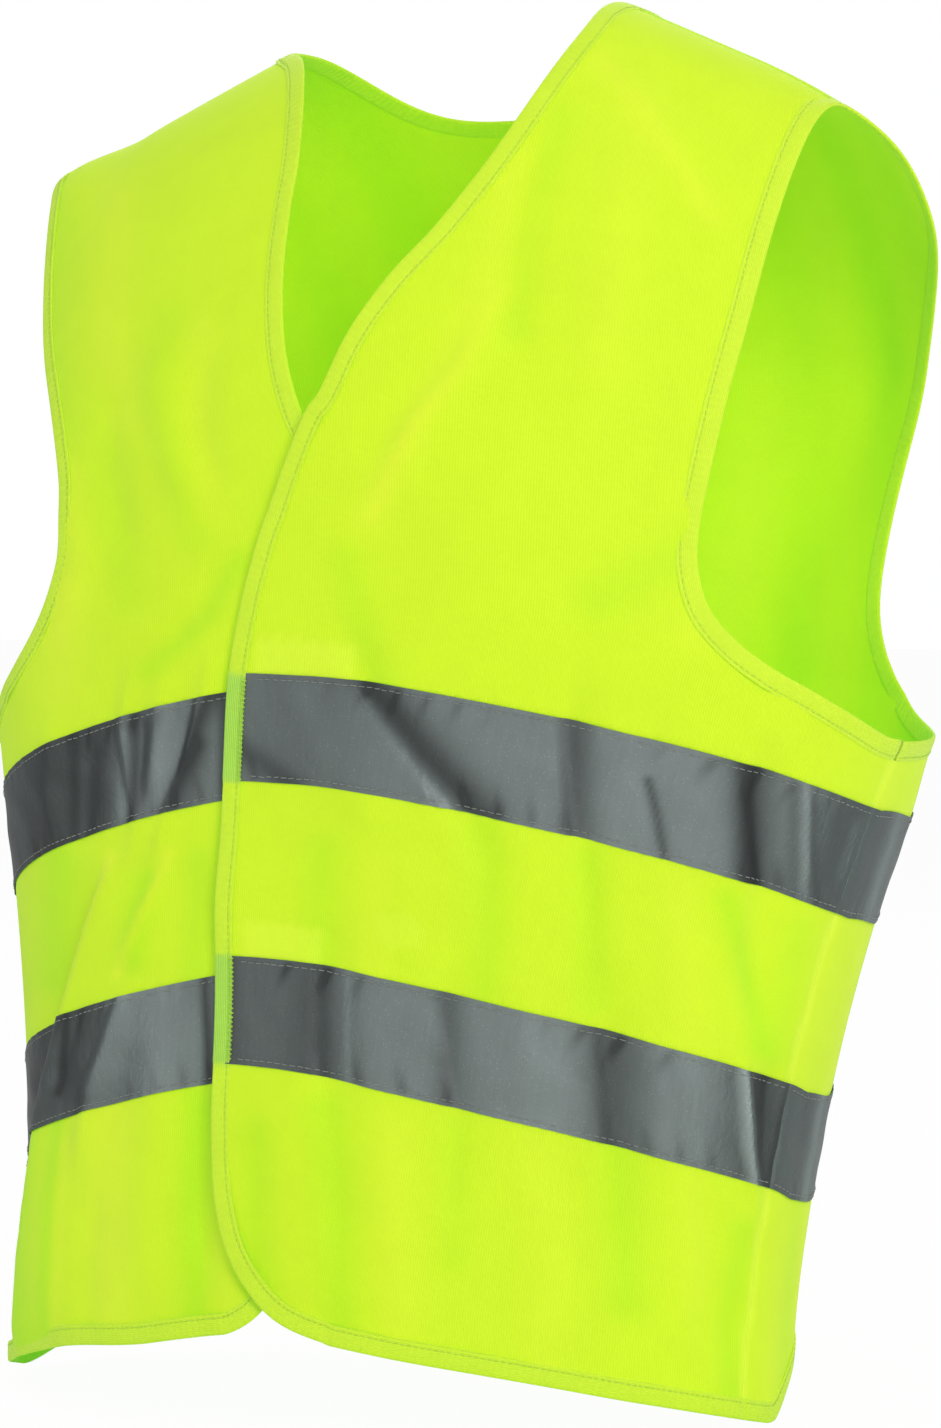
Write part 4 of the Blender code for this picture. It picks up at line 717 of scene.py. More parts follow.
def thick_sheet(name, top, low, tris, mat, uv, attrs=None, sharp=42):
    """Closed thin sheet from two layers of points and one triangulation."""
    k = len(top)
    tris = [tuple(t) for t in tris]
    faces = tris + [tuple(k + i for i in reversed(t)) for t in tris]
    seen = set()
    for t in tris:
        for i in range(len(t)):
            seen.add((t[i], t[(i + 1) % len(t)]))
    for a, b in seen:
        if (b, a) not in seen:
            faces.append((b, a, k + a, k + b))
    at = {key: np.concatenate([v, v]) for key, v in (attrs or {}).items()}
    return add_mesh(name, np.vstack([top, low]), faces, mat, np.vstack([uv, uv]), at, sharp)


def panel_mesh(name, panel, loop, mat, pale):
    """Cloth panel: even columns and rows inside its outline."""
    loop = np.array(loop, float)
    keep = [0]
    p3 = body(panel, wrap(loop[:, 0]), loop[:, 1])
    for i in range(1, len(loop)):
        if np.linalg.norm(p3[i] - p3[keep[-1]]) > 1e-4:
            keep.append(i)
    if np.linalg.norm(p3[keep[-1]] - p3[0]) < 1e-4:
        keep.pop()
    loop = loop[keep]
    lp = body(panel, wrap(loop[:, 0]), loop[:, 1])
    poly = chart(panel, loop[:, 0], loop[:, 1], lp)
    lo, hi = loop[:, 0].min(), loop[:, 0].max()
    cols = u_of_arc(np.arange(float(arc_of(lo)) + STEP / 2, float(arc_of(hi)), STEP))
    uu, qq = [], []
    dense = np.linspace(0, 1, 160)
    tops = ridge_q(panel, wrap(cols))
    for k, (u, top) in enumerate(zip(cols, tops)):
        qd = np.concatenate([top * dense[:-1], top - (top / 159) * np.linspace(1, 0, 60)[1:] ** 2])
        qd = np.unique(qd)
        pd = body(panel, wrap(np.full(qd.shape, u)), qd)
        s = np.concatenate([[0], np.cumsum(np.linalg.norm(np.diff(pd, axis=0), axis=1))])
        t = np.arange(STEP * (0.5 if k % 2 else 1.0), s[-1] - 0.002, STEP)
        uu.append(np.full(t.shape, u))
        qq.append(np.interp(t, s, qd))
    uu, qq = np.concatenate(uu), np.concatenate(qq)
    pp = body(panel, wrap(uu), qq)
    ch = chart(panel, uu, qq, pp)
    ok = in_polygon(ch, poly)
    uu, qq, ch = uu[ok], qq[ok], ch[ok]
    ok = clear_of(ch, poly) > STEP * 0.42
    uu, qq, ch = uu[ok], qq[ok], ch[ok]
    allc = np.vstack([poly, ch])
    m = len(poly)
    edges = [(i, (i + 1) % m) for i in range(m)]
    vo, eo, fo, ov, oe, of_ = delaunay_2d_cdt([Vector(c) for c in allc], edges, [list(range(m))], 1, 1e-8, True)
    remap = np.array([o[0] if o else -1 for o in ov])
    tri = np.array([[remap[i] for i in f] for f in fo if len(f) == 3], int)
    tri = tri[(tri >= 0).all(1)]
    mid = allc[tri].mean(1)
    tri = tri[in_polygon(mid, poly)]
    au, aq = np.concatenate([loop[:, 0], uu]), np.concatenate([loop[:, 1], qq])
    # the cloth is drawn in a little under each tape, as the stitching pulls it
    pull = sum(smooth((aq - lv - 0.0008) / 0.002) * smooth((lv + TAPE_WIDTH - 0.0008 - aq) / 0.002)
               for lv in TAPE_LEVELS) * 0.00045
    top, n = surf(panel, au, aq, CLOTH - pull)
    low, _ = surf(panel, au, aq, -pull)
    uv = np.stack([arc_of(au), aq], 1)
    # the 'tone' attribute carries painted light and shade along the folds
    return thick_sheet(name, top, low, tri, mat, uv, {'pale': pale(au, aq), 'tone': cloth_painted_light_and_shade(panel, au, aq)})


def ribbon(name, panel, uu, qq, lo, hi, mat, wrinkle=None, attrs=None, sharp=42):
    """Structured strip of cloth: uu and qq are (rows, columns) arrays."""
    r, c = uu.shape
    u, q = uu.ravel(), qq.ravel()
    extra = wrinkle(u, q) if wrinkle else 0.0
    top, _ = surf(panel, u, q, hi + extra)
    low, _ = surf(panel, u, q, lo + extra)
    i = np.arange((r - 1) * c).reshape(r - 1, c)[:, :-1].ravel()
    quads = np.stack([i, i + 1, i + c + 1, i + c], 1)
    uv = np.stack([arc_of(u), q], 1)
    return thick_sheet(name, top, low, quads.tolist(), mat, uv, attrs, sharp)


def sweep(name, pos, inward, nor, profile, mat, closed=False, attrs=None, along=None):
    """Sweeps a closed profile (distance inward, height) along a line of frames."""
    prof = np.array(profile, float) * 0.001
    k, m = len(pos), len(prof)
    v = pos[:, None, :] + inward[:, None, :] * prof[None, :, :1] + nor[:, None, :] * prof[None, :, 1:]
    faces = []
    last = k if closed else k - 1
    for i in range(last):
        j = (i + 1) % k
        for e in range(m):
            f = (e + 1) % m
            faces.append((i * m + e, i * m + f, j * m + f, j * m + e))
    verts = v.reshape(-1, 3)
    if not closed:
        faces.append(tuple(reversed(range(m))))
        faces.append(tuple((k - 1) * m + e for e in range(m)))
    if along is None:
        along = np.concatenate([[0], np.cumsum(np.linalg.norm(np.diff(pos, axis=0), axis=1))])
    per = np.concatenate([[0], np.cumsum(np.linalg.norm(np.diff(prof, axis=0), axis=1))])
    uv = np.stack([np.repeat(along, m), np.tile(per, k)], 1)
    at = {key: np.repeat(val, m) for key, val in (attrs or {}).items()}
    return add_mesh(name, verts, faces, mat, uv, at, 50)


def unit(v):
    return v / np.maximum(np.linalg.norm(v, axis=-1, keepdims=True), 1e-12)


def frames_along(curves, flip):
    """Positions, normals, (u, q) points and panel names along one or more joined (panel, uq) curves."""
    pos, nor, uq, pan = [], [], [], []
    for panel, c in curves:
        p, n = surf(panel, c[:, 0], c[:, 1], 0.0)
        pos.append(p)
        nor.append(n)
        uq.append(c)
        pan += [panel] * len(c)
    pos, nor, uq = np.vstack(pos), np.vstack(nor), np.vstack(uq)
    return pos, nor, uq, pan


def inward_dirs(pos, nor, sign, closed=False):
    if closed:
        t = np.roll(pos, -1, axis=0) - np.roll(pos, 1, axis=0)
    else:
        t = np.gradient(pos, axis=0)
    m = np.cross(unit(t), nor) * sign
    m = unit(m)
    for _ in range(2):
        mm = m.copy()
        mm[1:-1] = unit(m[:-2] + 2 * m[1:-1] + m[2:])
        if closed:
            mm[0] = unit(m[-1] + 2 * m[0] + m[1])
            mm[-1] = unit(m[-2] + 2 * m[-1] + m[0])
        m = mm
    m = unit(m - nor * (m * nor).sum(1, keepdims=True))
    return m


def threads(name, starts, ends, nors, radius, mat, lift=0.6, sides=6):
    """Row of stitches: short rounded threads whose ends dip into the cloth."""
    starts, ends, nors = np.array(starts), np.array(ends), np.array(nors)
    n = len(starts)
    t = np.array([0.0, 0.10, 0.30, 0.70, 0.90, 1.0])
    rad = np.array([0.45, 0.85, 1.0, 1.0, 0.85, 0.45]) * radius
    hgt = np.array([-0.9, 0.1, lift, lift, 0.1, -0.9]) * radius
    ax = unit(ends - starts)
    side = unit(np.cross(ax, nors))
    up = unit(np.cross(side, ax))
    ang = np.arange(sides) * 2 * np.pi / sides
    ring = side[:, None, None, :] * (np.cos(ang)[None, None, :, None] * rad[None, :, None, None]) \
        + up[:, None, None, :] * (np.sin(ang)[None, None, :, None] * rad[None, :, None, None]
                                  + hgt[None, :, None, None])
    base = starts[:, None, :] + (ends - starts)[:, None, :] * t[None, :, None]
    v = base[:, :, None, :] + ring
    k = len(t)
    verts = v.reshape(-1, 3)
    tmpl = []
    for i in range(k - 1):
        for j in range(sides):
            j2 = (j + 1) % sides
            tmpl.append((i * sides + j, i * sides + j2, (i + 1) * sides + j2, (i + 1) * sides + j))
    caps = [tuple(reversed(range(sides))), tuple((k - 1) * sides + j for j in range(sides))]
    faces = []
    for s in range(n):
        o = s * k * sides
        faces += [tuple(o + i for i in f) for f in tmpl]
        faces += [tuple(o + i for i in f) for f in caps]
    along = np.tile(np.repeat(t * 0.004, sides), n) + np.repeat(np.arange(n) * 0.0053, k * sides)
    uv = np.stack([along, np.tile(np.tile(ang, k) * radius, n)], 1)
    return add_mesh(name, verts, faces, mat, uv, None, 60)


def stitch_row(panel, uq, off, pitch, length, jitter=0.00012):
    """Start, end and normal of each stitch along a curve."""
    c = spaced(panel, uq, 0.0012)
    p, n = surf(panel, c[:, 0], c[:, 1], off)
    s = np.concatenate([[0], np.cumsum(np.linalg.norm(np.diff(p, axis=0), axis=1))])
    k = np.arange(0.6 * pitch, s[-1] - length, pitch)
    k = k + RNG.normal(0, pitch * 0.03, len(k))

    def at(v):
        return np.stack([np.interp(v, s, p[:, i]) for i in range(3)], 1)
    nn = unit(np.stack([np.interp(k, s, n[:, i]) for i in range(3)], 1))
    a, b = at(k), at(k + length * (1 + RNG.normal(0, 0.05, len(k))))
    side = unit(np.cross(unit(b - a), nn))
    a = a + side * RNG.normal(0, jitter, len(k))[:, None]
    b = b + side * RNG.normal(0, jitter, len(k))[:, None]
    return a, b, nn


# ---------------------------------------------------------------- materials
class Graph:
    """Small helper for building node materials."""

    def __init__(self, name):
        self.mat = bpy.data.materials.new(name)
        self.mat.use_nodes = True
        self.t = self.mat.node_tree
        self.t.nodes.clear()
        self.out = self.t.nodes.new('ShaderNodeOutputMaterial')

    def node(self, kind, **kw):
        n = self.t.nodes.new(kind)
        for k, v in kw.items():
            if k.startswith('_'):
                continue
            setattr(n, k, v)
        return n

    def link(self, a, b):
        self.t.links.new(a, b)

    def put(self, socket, value):
        if isinstance(value, bpy.types.NodeSocket):
            self.link(value, socket)
        else:
            socket.default_value = value

    def math(self, op, a, b=0.0, c=None, clamp=False):
        n = self.node('ShaderNodeMath', operation=op, use_clamp=clamp)
        self.put(n.inputs[0], a)
        self.put(n.inputs[1], b)
        if c is not None:
            self.put(n.inputs[2], c)
        return n.outputs[0]

    def uv(self):
        n = self.node('ShaderNodeUVMap', uv_map='cloth')
        s = self.node('ShaderNodeSeparateXYZ')
        self.link(n.outputs[0], s.inputs[0])
        return n.outputs[0], s.outputs[0], s.outputs[1]

    def attr(self, name):
        n = self.node('ShaderNodeAttribute', attribute_name=name)
        return n.outputs['Fac']

    def coords(self):
        return self.node('ShaderNodeTexCoord').outputs['Object']

    def noise(self, vec, scale, detail=3.0, rough=0.55, dist=0.0):
        n = self.node('ShaderNodeTexNoise')
        self.link(vec, n.inputs['Vector'])
        n.inputs['Scale'].default_value = scale
        n.inputs['Detail'].default_value = detail
        n.inputs['Roughness'].default_value = rough
        n.inputs['Distortion'].default_value = dist
        return n.outputs['Fac']

    def voronoi(self, vec, scale, feature='F1'):
        n = self.node('ShaderNodeTexVoronoi', feature=feature)
        self.link(vec, n.inputs['Vector'])
        n.inputs['Scale'].default_value = scale
        return n

    def mix(self, fac, a, b):
        n = self.node('ShaderNodeMix', data_type='RGBA')
        self.put(n.inputs['Factor'], fac)
        self.put(n.inputs[6], a)
        self.put(n.inputs[7], b)
        return n.outputs[2]

    def ramp(self, fac, lo, hi, a=0.0, b=1.0):
        n = self.node('ShaderNodeMapRange', interpolation_type='SMOOTHSTEP')
        self.put(n.inputs['Value'], fac)
        n.inputs['From Min'].default_value = lo
        n.inputs['From Max'].default_value = hi
        n.inputs['To Min'].default_value = a
        n.inputs['To Max'].default_value = b
        return n.outputs['Result']

    def bump(self, height, distance, strength=1.0, normal=None):
        n = self.node('ShaderNodeBump')
        self.put(n.inputs['Height'], height)
        n.inputs['Distance'].default_value = distance
        n.inputs['Strength'].default_value = strength
        if normal is not None:
            self.link(normal, n.inputs['Normal'])
        return n.outputs['Normal']

    def principled(self, **kw):
        n = self.node('ShaderNodeBsdfPrincipled')
        for k, v in kw.items():
            self.put(n.inputs[k], v)
        return n

    def finish(self, shader):
        self.link(shader, self.out.inputs['Surface'])
        return self.mat


def sine(g, coord, pitch, phase=0.0):
    v = g.math('MULTIPLY', coord, 2 * math.pi / pitch)
    if phase is not None and not (isinstance(phase, float) and phase == 0.0):
        v = g.math('ADD', v, phase)
    return g.math('SINE', v)


# FLUO is the cloth's dye colour; GLOW is painted light, a steady green emission standing in for the fluorescence, which
# also flattens the shading
FLUO = (0.640, 0.720, 0.012, 1)
GLOW = (0.0, 0.190, 0.003, 1)


def cloth_material(name="vest_knit_cloth", colour=FLUO, glow=GLOW, pale_colour=(0.78, 0.79, 0.050, 1)):
    g = Graph(name)
    uvv, s, t = g.uv()
    obj = g.coords()
    # warp knit: fine vertical wales, with short slanted loops crossing them
    wale = sine(g, s, 0.00112)
    wob = g.noise(obj, 60, 2)
    phase = g.math('MULTIPLY', g.math('SIGN', wale), 1.1)
    loop = sine(g, t, 0.00095, phase)
    fine = g.noise(obj, 2600, 2)
    h = g.math('ADD', g.math('MULTIPLY', wale, 0.62), g.math('MULTIPLY', loop, 0.30))
    h = g.math('ADD', h, g.math('MULTIPLY', fine, 0.5))
    crinkle = g.noise(obj, 210, 4, 0.6, 0.4)
    n1 = g.bump(crinkle, 0.00035, 0.55)
    n2 = g.bump(h, 0.000045, 0.9, n1)
    # colour: painted shade in the grooves between the wales, soft unevenness in the dye
    tone = g.math('ADD', g.math('MULTIPLY', wale, 0.030), 0.97)
    tone = g.math('ADD', tone, g.math('MULTIPLY', g.math('SUBTRACT', g.noise(obj, 9, 3), 0.5), 0.10))
    tone = g.math('ADD', tone, g.math('MULTIPLY', g.math('SUBTRACT', wob, 0.5), 0.05))
    tone = g.math('ADD', tone, g.math('MULTIPLY', g.math('SUBTRACT', fine, 0.5), 0.10))
    # painted light and shade from the 'tone' attribute: positive mixes towards a greener shade colour, negative towards
    # a yellower lit colour
    lit = g.attr('tone')
    base = g.mix(g.math('MULTIPLY', g.math('MAXIMUM', lit, 0.0), 0.75), colour, (0.455, 0.680, 0.004, 1))
    base = g.mix(g.math('MULTIPLY', g.math('MAXIMUM', g.math('MULTIPLY', lit, -1.0), 0.0), 0.65), base,
                 (0.790, 0.750, 0.030, 1))
    pale = g.attr('pale')
    base = g.mix(pale, base, pale_colour)
    scale = g.node('ShaderNodeVectorMath', operation='SCALE')
    g.link(base, scale.inputs[0])
    g.link(tone, scale.inputs['Scale'])
    bs = g.principled(**{'Base Color': scale.outputs[0], 'Roughness': g.math('ADD', 0.62, g.math('MULTIPLY', fine, 0.2)),
                         'Specular IOR Level': 0.28, 'Sheen Weight': 0.22, 'Sheen Roughness': 0.45,
                         'Sheen Tint': (0.90, 1.0, 0.35, 1), 'Normal': n2,
                         'Emission Color': glow, 'Emission Strength': g.math('MULTIPLY', tone, 1.0)})
    return g.finish(bs.outputs[0])


def binding_material(name="vest_binding_weave"):
    g = Graph(name)
    uvv, s, a = g.uv()
    obj = g.coords()
    rib = sine(g, a, 0.00098)                      # ribs run along the tape
    pick = sine(g, s, 0.00062, g.math('MULTIPLY', g.math('SIGN', rib), 1.57))
    fine = g.noise(obj, 2400, 2)
    pucker = sine(g, s, 0.0036)
    h = g.math('ADD', g.math('MULTIPLY', rib, 0.7), g.math('MULTIPLY', pick, 0.35))
    n1 = g.bump(g.math('ADD', g.math('MULTIPLY', pucker, 0.6), g.noise(obj, 330, 2)), 0.00016, 0.8)
    n2 = g.bump(g.math('ADD', h, g.math('MULTIPLY', fine, 0.4)), 0.00007, 1.0, n1)
    # painted shade in the grooves between the ribs; the noise below is unevenness in the dye
    tone = g.math('ADD', g.math('MULTIPLY', rib, 0.045), 0.97)
    tone = g.math('ADD', tone, g.math('MULTIPLY', g.math('SUBTRACT', g.noise(obj, 45, 3), 0.5), 0.12))
    over = g.attr('over')
    groove = g.ramp(rib, -0.2, 0.9, 1.0, 0.15)
    base = g.mix(g.math('MULTIPLY', over, g.math('MULTIPLY', groove, 0.85)), (0.640, 0.730, 0.020, 1),
                 (0.22, 0.36, 0.11, 1))
    base = g.mix(g.math('MULTIPLY', over, 0.45), base, (0.42, 0.62, 0.07, 1))
    scale = g.node('ShaderNodeVectorMath', operation='SCALE')
    g.link(base, scale.inputs[0])
    g.link(tone, scale.inputs['Scale'])
    # the steady green emission is painted light, standing in for fluorescence
    bs = g.principled(**{'Base Color': scale.outputs[0], 'Roughness': 0.62, 'Specular IOR Level': 0.32,
                         'Sheen Weight': 0.25, 'Sheen Roughness': 0.4, 'Sheen Tint': (0.92, 1.0, 0.5, 1),
                         'Normal': n2, 'Emission Color': (0.0, 0.17, 0.006, 1), 'Emission Strength': 1.0})
    return g.finish(bs.outputs[0])


def tape_material(name="vest_reflective_tape"):
    g = Graph(name)
    uvv, s, t = g.uv()
    obj = g.coords()
    # glass beads: dense tiny speckle, with painted glints on a few of them; satin film with faint handling streaks
    bead = g.voronoi(obj, 2300)
    lum = g.node('ShaderNodeSeparateColor')
    g.link(bead.outputs['Color'], lum.inputs[0])
    bead_painted_glint = g.ramp(lum.outputs[0], 0.965, 1.0)
    grain = g.noise(obj, 1700, 3, 0.7)
    stretch = g.node('ShaderNodeMapping')
    g.link(uvv, stretch.inputs['Vector'])
    stretch.inputs['Scale'].default_value = (420, 36, 1)
    streak = g.noise(stretch.outputs[0], 1.0, 3, 0.6)
    cloudy = g.noise(obj, 34, 3, 0.5)
    facing = g.node('ShaderNodeLayerWeight')
    facing.inputs['Blend'].default_value = 0.5
    creases = g.noise(obj, 120, 3, 0.5, 1.2)
    n1 = g.bump(g.math('ADD', creases, g.math('MULTIPLY', streak, 0.35)), 0.00050, 0.55)
    n2 = g.bump(grain, 0.000035, 1.0, n1)
    g.link(n1, facing.inputs['Normal'])
    # painted shade: the tape darkens as it turns away from the camera, standing in for its retroreflection
    away = g.ramp(facing.outputs['Facing'], 0.04, 0.50)
    base = g.mix(away, (0.188, 0.222, 0.218, 1), (0.056, 0.070, 0.070, 1))
    tone = g.math('ADD', 0.86, g.math('MULTIPLY', grain, 0.20))
    tone = g.math('ADD', tone, g.math('MULTIPLY', g.math('SUBTRACT', streak, 0.5), 0.16))
    tone = g.math('ADD', tone, g.math('MULTIPLY', g.math('SUBTRACT', cloudy, 0.5), 0.18))
    tone = g.math('ADD', tone, g.math('MULTIPLY', bead_painted_glint, 0.45))
    shade = g.math('MAXIMUM', g.math('ADD', g.attr('shade'), 1.0), 0.22)
    tone = g.math('MULTIPLY', tone, shade)
    scale = g.node('ShaderNodeVectorMath', operation='SCALE')
    g.link(base, scale.inputs[0])
    g.link(tone, scale.inputs['Scale'])
    bs = g.principled(**{'Base Color': scale.outputs[0], 'Metallic': 0.30,
                         'Roughness': g.math('ADD', 0.40, g.math('MULTIPLY', grain, 0.16)),
                         'Specular IOR Level': 0.35, 'Normal': n2})
    return g.finish(bs.outputs[0])


def thread_material(name, colour, glow=(0, 0, 0, 1)):
    g = Graph(name)
    uvv, s, a = g.uv()
    obj = g.coords()
    twist = sine(g, g.math('ADD', s, g.math('MULTIPLY', a, 1.2)), 0.00042)
    fuzz = g.noise(obj, 3000, 2)
    n = g.bump(g.math('ADD', twist, g.math('MULTIPLY', fuzz, 0.7)), 0.00006, 1.0)
    tone = g.math('ADD', 0.86, g.math('MULTIPLY', fuzz, 0.28))
    # painted shade in the grooves of the twist
    tone = g.math('ADD', tone, g.math('MULTIPLY', twist, 0.06))
    scale = g.node('ShaderNodeVectorMath', operation='SCALE')
    scale.inputs[0].default_value = colour[:3]
    g.link(tone, scale.inputs['Scale'])
    bs = g.principled(**{'Base Color': scale.outputs[0], 'Roughness': 0.55, 'Specular IOR Level': 0.4,
                         'Sheen Weight': 0.2, 'Normal': n, 'Emission Color': glow, 'Emission Strength': 1.0})
    return g.finish(bs.outputs[0])


def patch_material(name, colour, fluffy):
    g = Graph(name)
    obj = g.coords()
    fibre = g.noise(obj, 900 if fluffy else 1400, 4, 0.75, 1.5 if fluffy else 0.3)
    clump = g.noise(obj, 220, 3, 0.6)
    n = g.bump(g.math('ADD', fibre, g.math('MULTIPLY', clump, 0.6)), 0.0006 if fluffy else 0.0002, 1.0)
    tone = g.math('ADD', 0.72, g.math('MULTIPLY', fibre, 0.4))
    tone = g.math('ADD', tone, g.math('MULTIPLY', clump, 0.14))
    scale = g.node('ShaderNodeVectorMath', operation='SCALE')
    scale.inputs[0].default_value = colour[:3]
    g.link(tone, scale.inputs['Scale'])
    # the steady green emission is painted light, standing in for fluorescence
    bs = g.principled(**{'Base Color': scale.outputs[0], 'Roughness': 0.9 if fluffy else 0.5,
                         'Sheen Weight': 0.5 if fluffy else 0.1, 'Normal': n,
                         'Emission Color': (0.0, 0.10, 0.004, 1), 'Emission Strength': 1.0})
    return g.finish(bs.outputs[0])


def floor_material():
    g = Graph("studio_floor")
    obj = g.coords()
    tone = g.ramp(g.noise(obj, 3.0, 3), 0.0, 1.0, 0.90, 0.93)
    comb = g.node('ShaderNodeCombineColor')
    for i in range(3):
        g.link(tone, comb.inputs[i])
    bs = g.principled(**{'Base Color': comb.outputs[0], 'Roughness': 0.7, 'Specular IOR Level': 0.1})
    # a lit sweep: seen straight on it is as white as the wall behind, and it keeps a trace of shadow
    glow = g.node('ShaderNodeEmission')
    glow.inputs['Color'].default_value = (1.0, 1.0, 1.0, 1)
    ray = g.node('ShaderNodeLightPath')
    mix = g.node('ShaderNodeMixShader')
    g.link(g.math('MULTIPLY', ray.outputs['Is Camera Ray'], 0.965), mix.inputs[0])
    g.link(bs.outputs[0], mix.inputs[1])
    g.link(glow.outputs[0], mix.inputs[2])
    return g.finish(mix.outputs[0])


M_CLOTH = cloth_material()
M_BIND = binding_material()
M_TAPE = tape_material()
M_GREY = thread_material("vest_grey_thread", (0.27, 0.30, 0.27, 1))
M_YELLOW = thread_material("vest_yellow_thread", (0.62, 0.72, 0.05, 1), (0.0, 0.12, 0.004, 1))
M_HOOK = patch_material("vest_hook_tape", (0.56, 0.70, 0.07, 1), False)
M_LOOP = patch_material("vest_loop_tape", (0.60, 0.72, 0.09, 1), True)


def follow(ob, side, slot, *nodes):
    """A front piece: its placement is baked into the mesh, and the CAD parts it stands for are hidden."""
    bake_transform(ob)
    if nodes:
        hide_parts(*nodes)


def ride(ob, body_name, slot, *nodes):
    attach(ob, body_name)
    if nodes:
        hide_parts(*nodes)


# ---------------------------------------------------------------- panels
FRONT = {s: front_curves(s) for s in 'LR'}
BACKC = back_curves()


def band(v, lo, hi, soft):
    return smooth((v - lo) / soft + 0.5) * smooth((hi - v) / soft + 0.5)


def pale_front(side):
    def f(u, q):
        out = np.zeros(len(u))
        arc = 0.21 * np.abs(np.abs(wrap(u)) - seam_u(np.clip(q, 0, UNDERARM)))
        out = np.maximum(out, 0.6 * smooth((0.0045 - arc) / 0.0025) * (q < UNDERARM))
        if side == 'L':
            for lv in TAPE_LEVELS:
                top = lv + TAPE_WIDTH + PATCH_ABOVE
                pa = band(np.degrees(u), PATCH_ANGLE[0] - 0.4, PATCH_ANGLE[1] + 0.4, 0.35) \
                    * band(q, top - PATCH_HEIGHT, top, 0.0016)
                out = np.maximum(out, 0.38 * pa)
            p = body(side, wrap(u), q)
            xy = in_view(p)
            out = np.maximum(out, 0.22 * band(xy[:, 0], 384, 426, 4) * band(xy[:, 1], 914, 946, 4))
        return out
    return f


def pale_back(u, q):
    arc = 0.21 * np.abs(np.abs(wrap(u)) - seam_u(np.clip(q, 0, UNDERARM)))
    return 0.6 * smooth((0.0045 - arc) / 0.0025) * (q < UNDERARM)


def pull_in(curve, panel, amount, sign):
    """Moves a seam line sideways by a hair so neighbouring panels never share a face."""
    c = curve.copy()
    c[:, 0] += sign * amount / 0.21
    return c


for side, word in (('L', 'left'), ('R', 'right')):
    sgn = 1.0 if side == 'L' else -1.0
    c = FRONT[side]
    seam = pull_in(c['seam'], side, 0.00016, -sgn)
    sh = c['shoulder'].copy()
    sh[:, 1] -= 2.5e-5
    loop = np.vstack([spaced(side, c['edge'], STEP), spaced(side, sh, STEP)[1:],
                      spaced(side, c['arm'], STEP)[::-1][1:], spaced(side, seam, STEP)[::-1][1:]])
    ob = panel_mesh(word + "_front", side, loop, M_CLOTH, pale_front(side))
    follow(ob, side, 'cloth', word + '_front_flap', word + '_front_side_panel')

b = BACKC
seam_l, seam_r = pull_in(b['seam_L'], 'B', 0.00016, 1), pull_in(b['seam_R'], 'B', 0.00016, -1)
shl, shr = b['sh_L'].copy(), b['sh_R'].copy()
shl[:, 1] -= 2.5e-5
shr[:, 1] -= 2.5e-5
loop = np.vstack([spaced('B', b['hem'], STEP), spaced('B', seam_r, STEP)[1:], spaced('B', b['arm_R'], STEP)[1:],
                  spaced('B', shr, STEP)[::-1][1:], spaced('B', b['neck'], STEP)[::-1][1:],
                  spaced('B', shl, STEP)[1:], spaced('B', b['arm_L'], STEP)[::-1][1:],
                  spaced('B', seam_l, STEP)[::-1][1:]])
back_ob = panel_mesh("back", 'B', loop, M_CLOTH, pale_back)
ride(back_ob, 'vest_body', 'cloth', 'back_panel')

# ---------------------------------------------------------------- tapes
T0 = CLOTH + TAPE_GAP
TAPE_LINES = (0.0025, TAPE_WIDTH - 0.0026)        # stitch rows above the tape's lower edge


def tape_wrinkle(u, q):
    """Small gathers where the tape is sewn down, and a slight waviness of its free edges."""
    s = arc_of(u)
    out = np.zeros(len(s))
    du = np.where(np.abs(u) < 0.4, np.abs(np.abs(u) - 0.131), 9.0) * 0.3
    flat = smooth((du - 0.0165) / 0.012)
    for lv in TAPE_LEVELS:
        for k, row in enumerate(TAPE_LINES):
            d = q - (lv + row)
            near = np.exp(-(d / 0.0065) ** 2) * (np.abs(q - lv - 0.025) < 0.04)
            ph = 3.0 * np.sin(s * 31 + 9 * lv + k) + 2.0 * np.sin(s * 83 + 4 * k)
            out = out + near * 0.00016 * (1 + np.sin(2 * np.pi * s / 0.0105 + ph)) * \
                smooth(0.5 + 0.9 * np.sin(s * 57 + 2 * k + lv * 40))
        e = np.minimum(np.abs(q - lv), np.abs(q - lv - TAPE_WIDTH))
        out = out + 0.00014 * np.exp(-(e / 0.0016) ** 2) * (1 + np.sin(2 * np.pi * s / 0.0078 + 2 * np.sin(s * 40)))
        mid = np.exp(-((q - lv - 0.025) / 0.020) ** 2)
        out = out + mid * 0.00022 * (1 + np.sin(s * 150 + 3 * np.sin(q * 90) + 2 * np.sin(s * 37)))
    return out * flat


def edge_u(side, q):
    """Angle of the free edge of a front at height q (tape heights only)."""
    e = FRONT[side]['edge']
    ok = (np.abs(e[:, 0]) < 0.3) & (e[:, 1] > 0.06) & (e[:, 1] < 0.36)
    e = e[ok]
    o = np.argsort(e[:, 1])
    return np.interp(q, e[o, 1], e[o, 0])


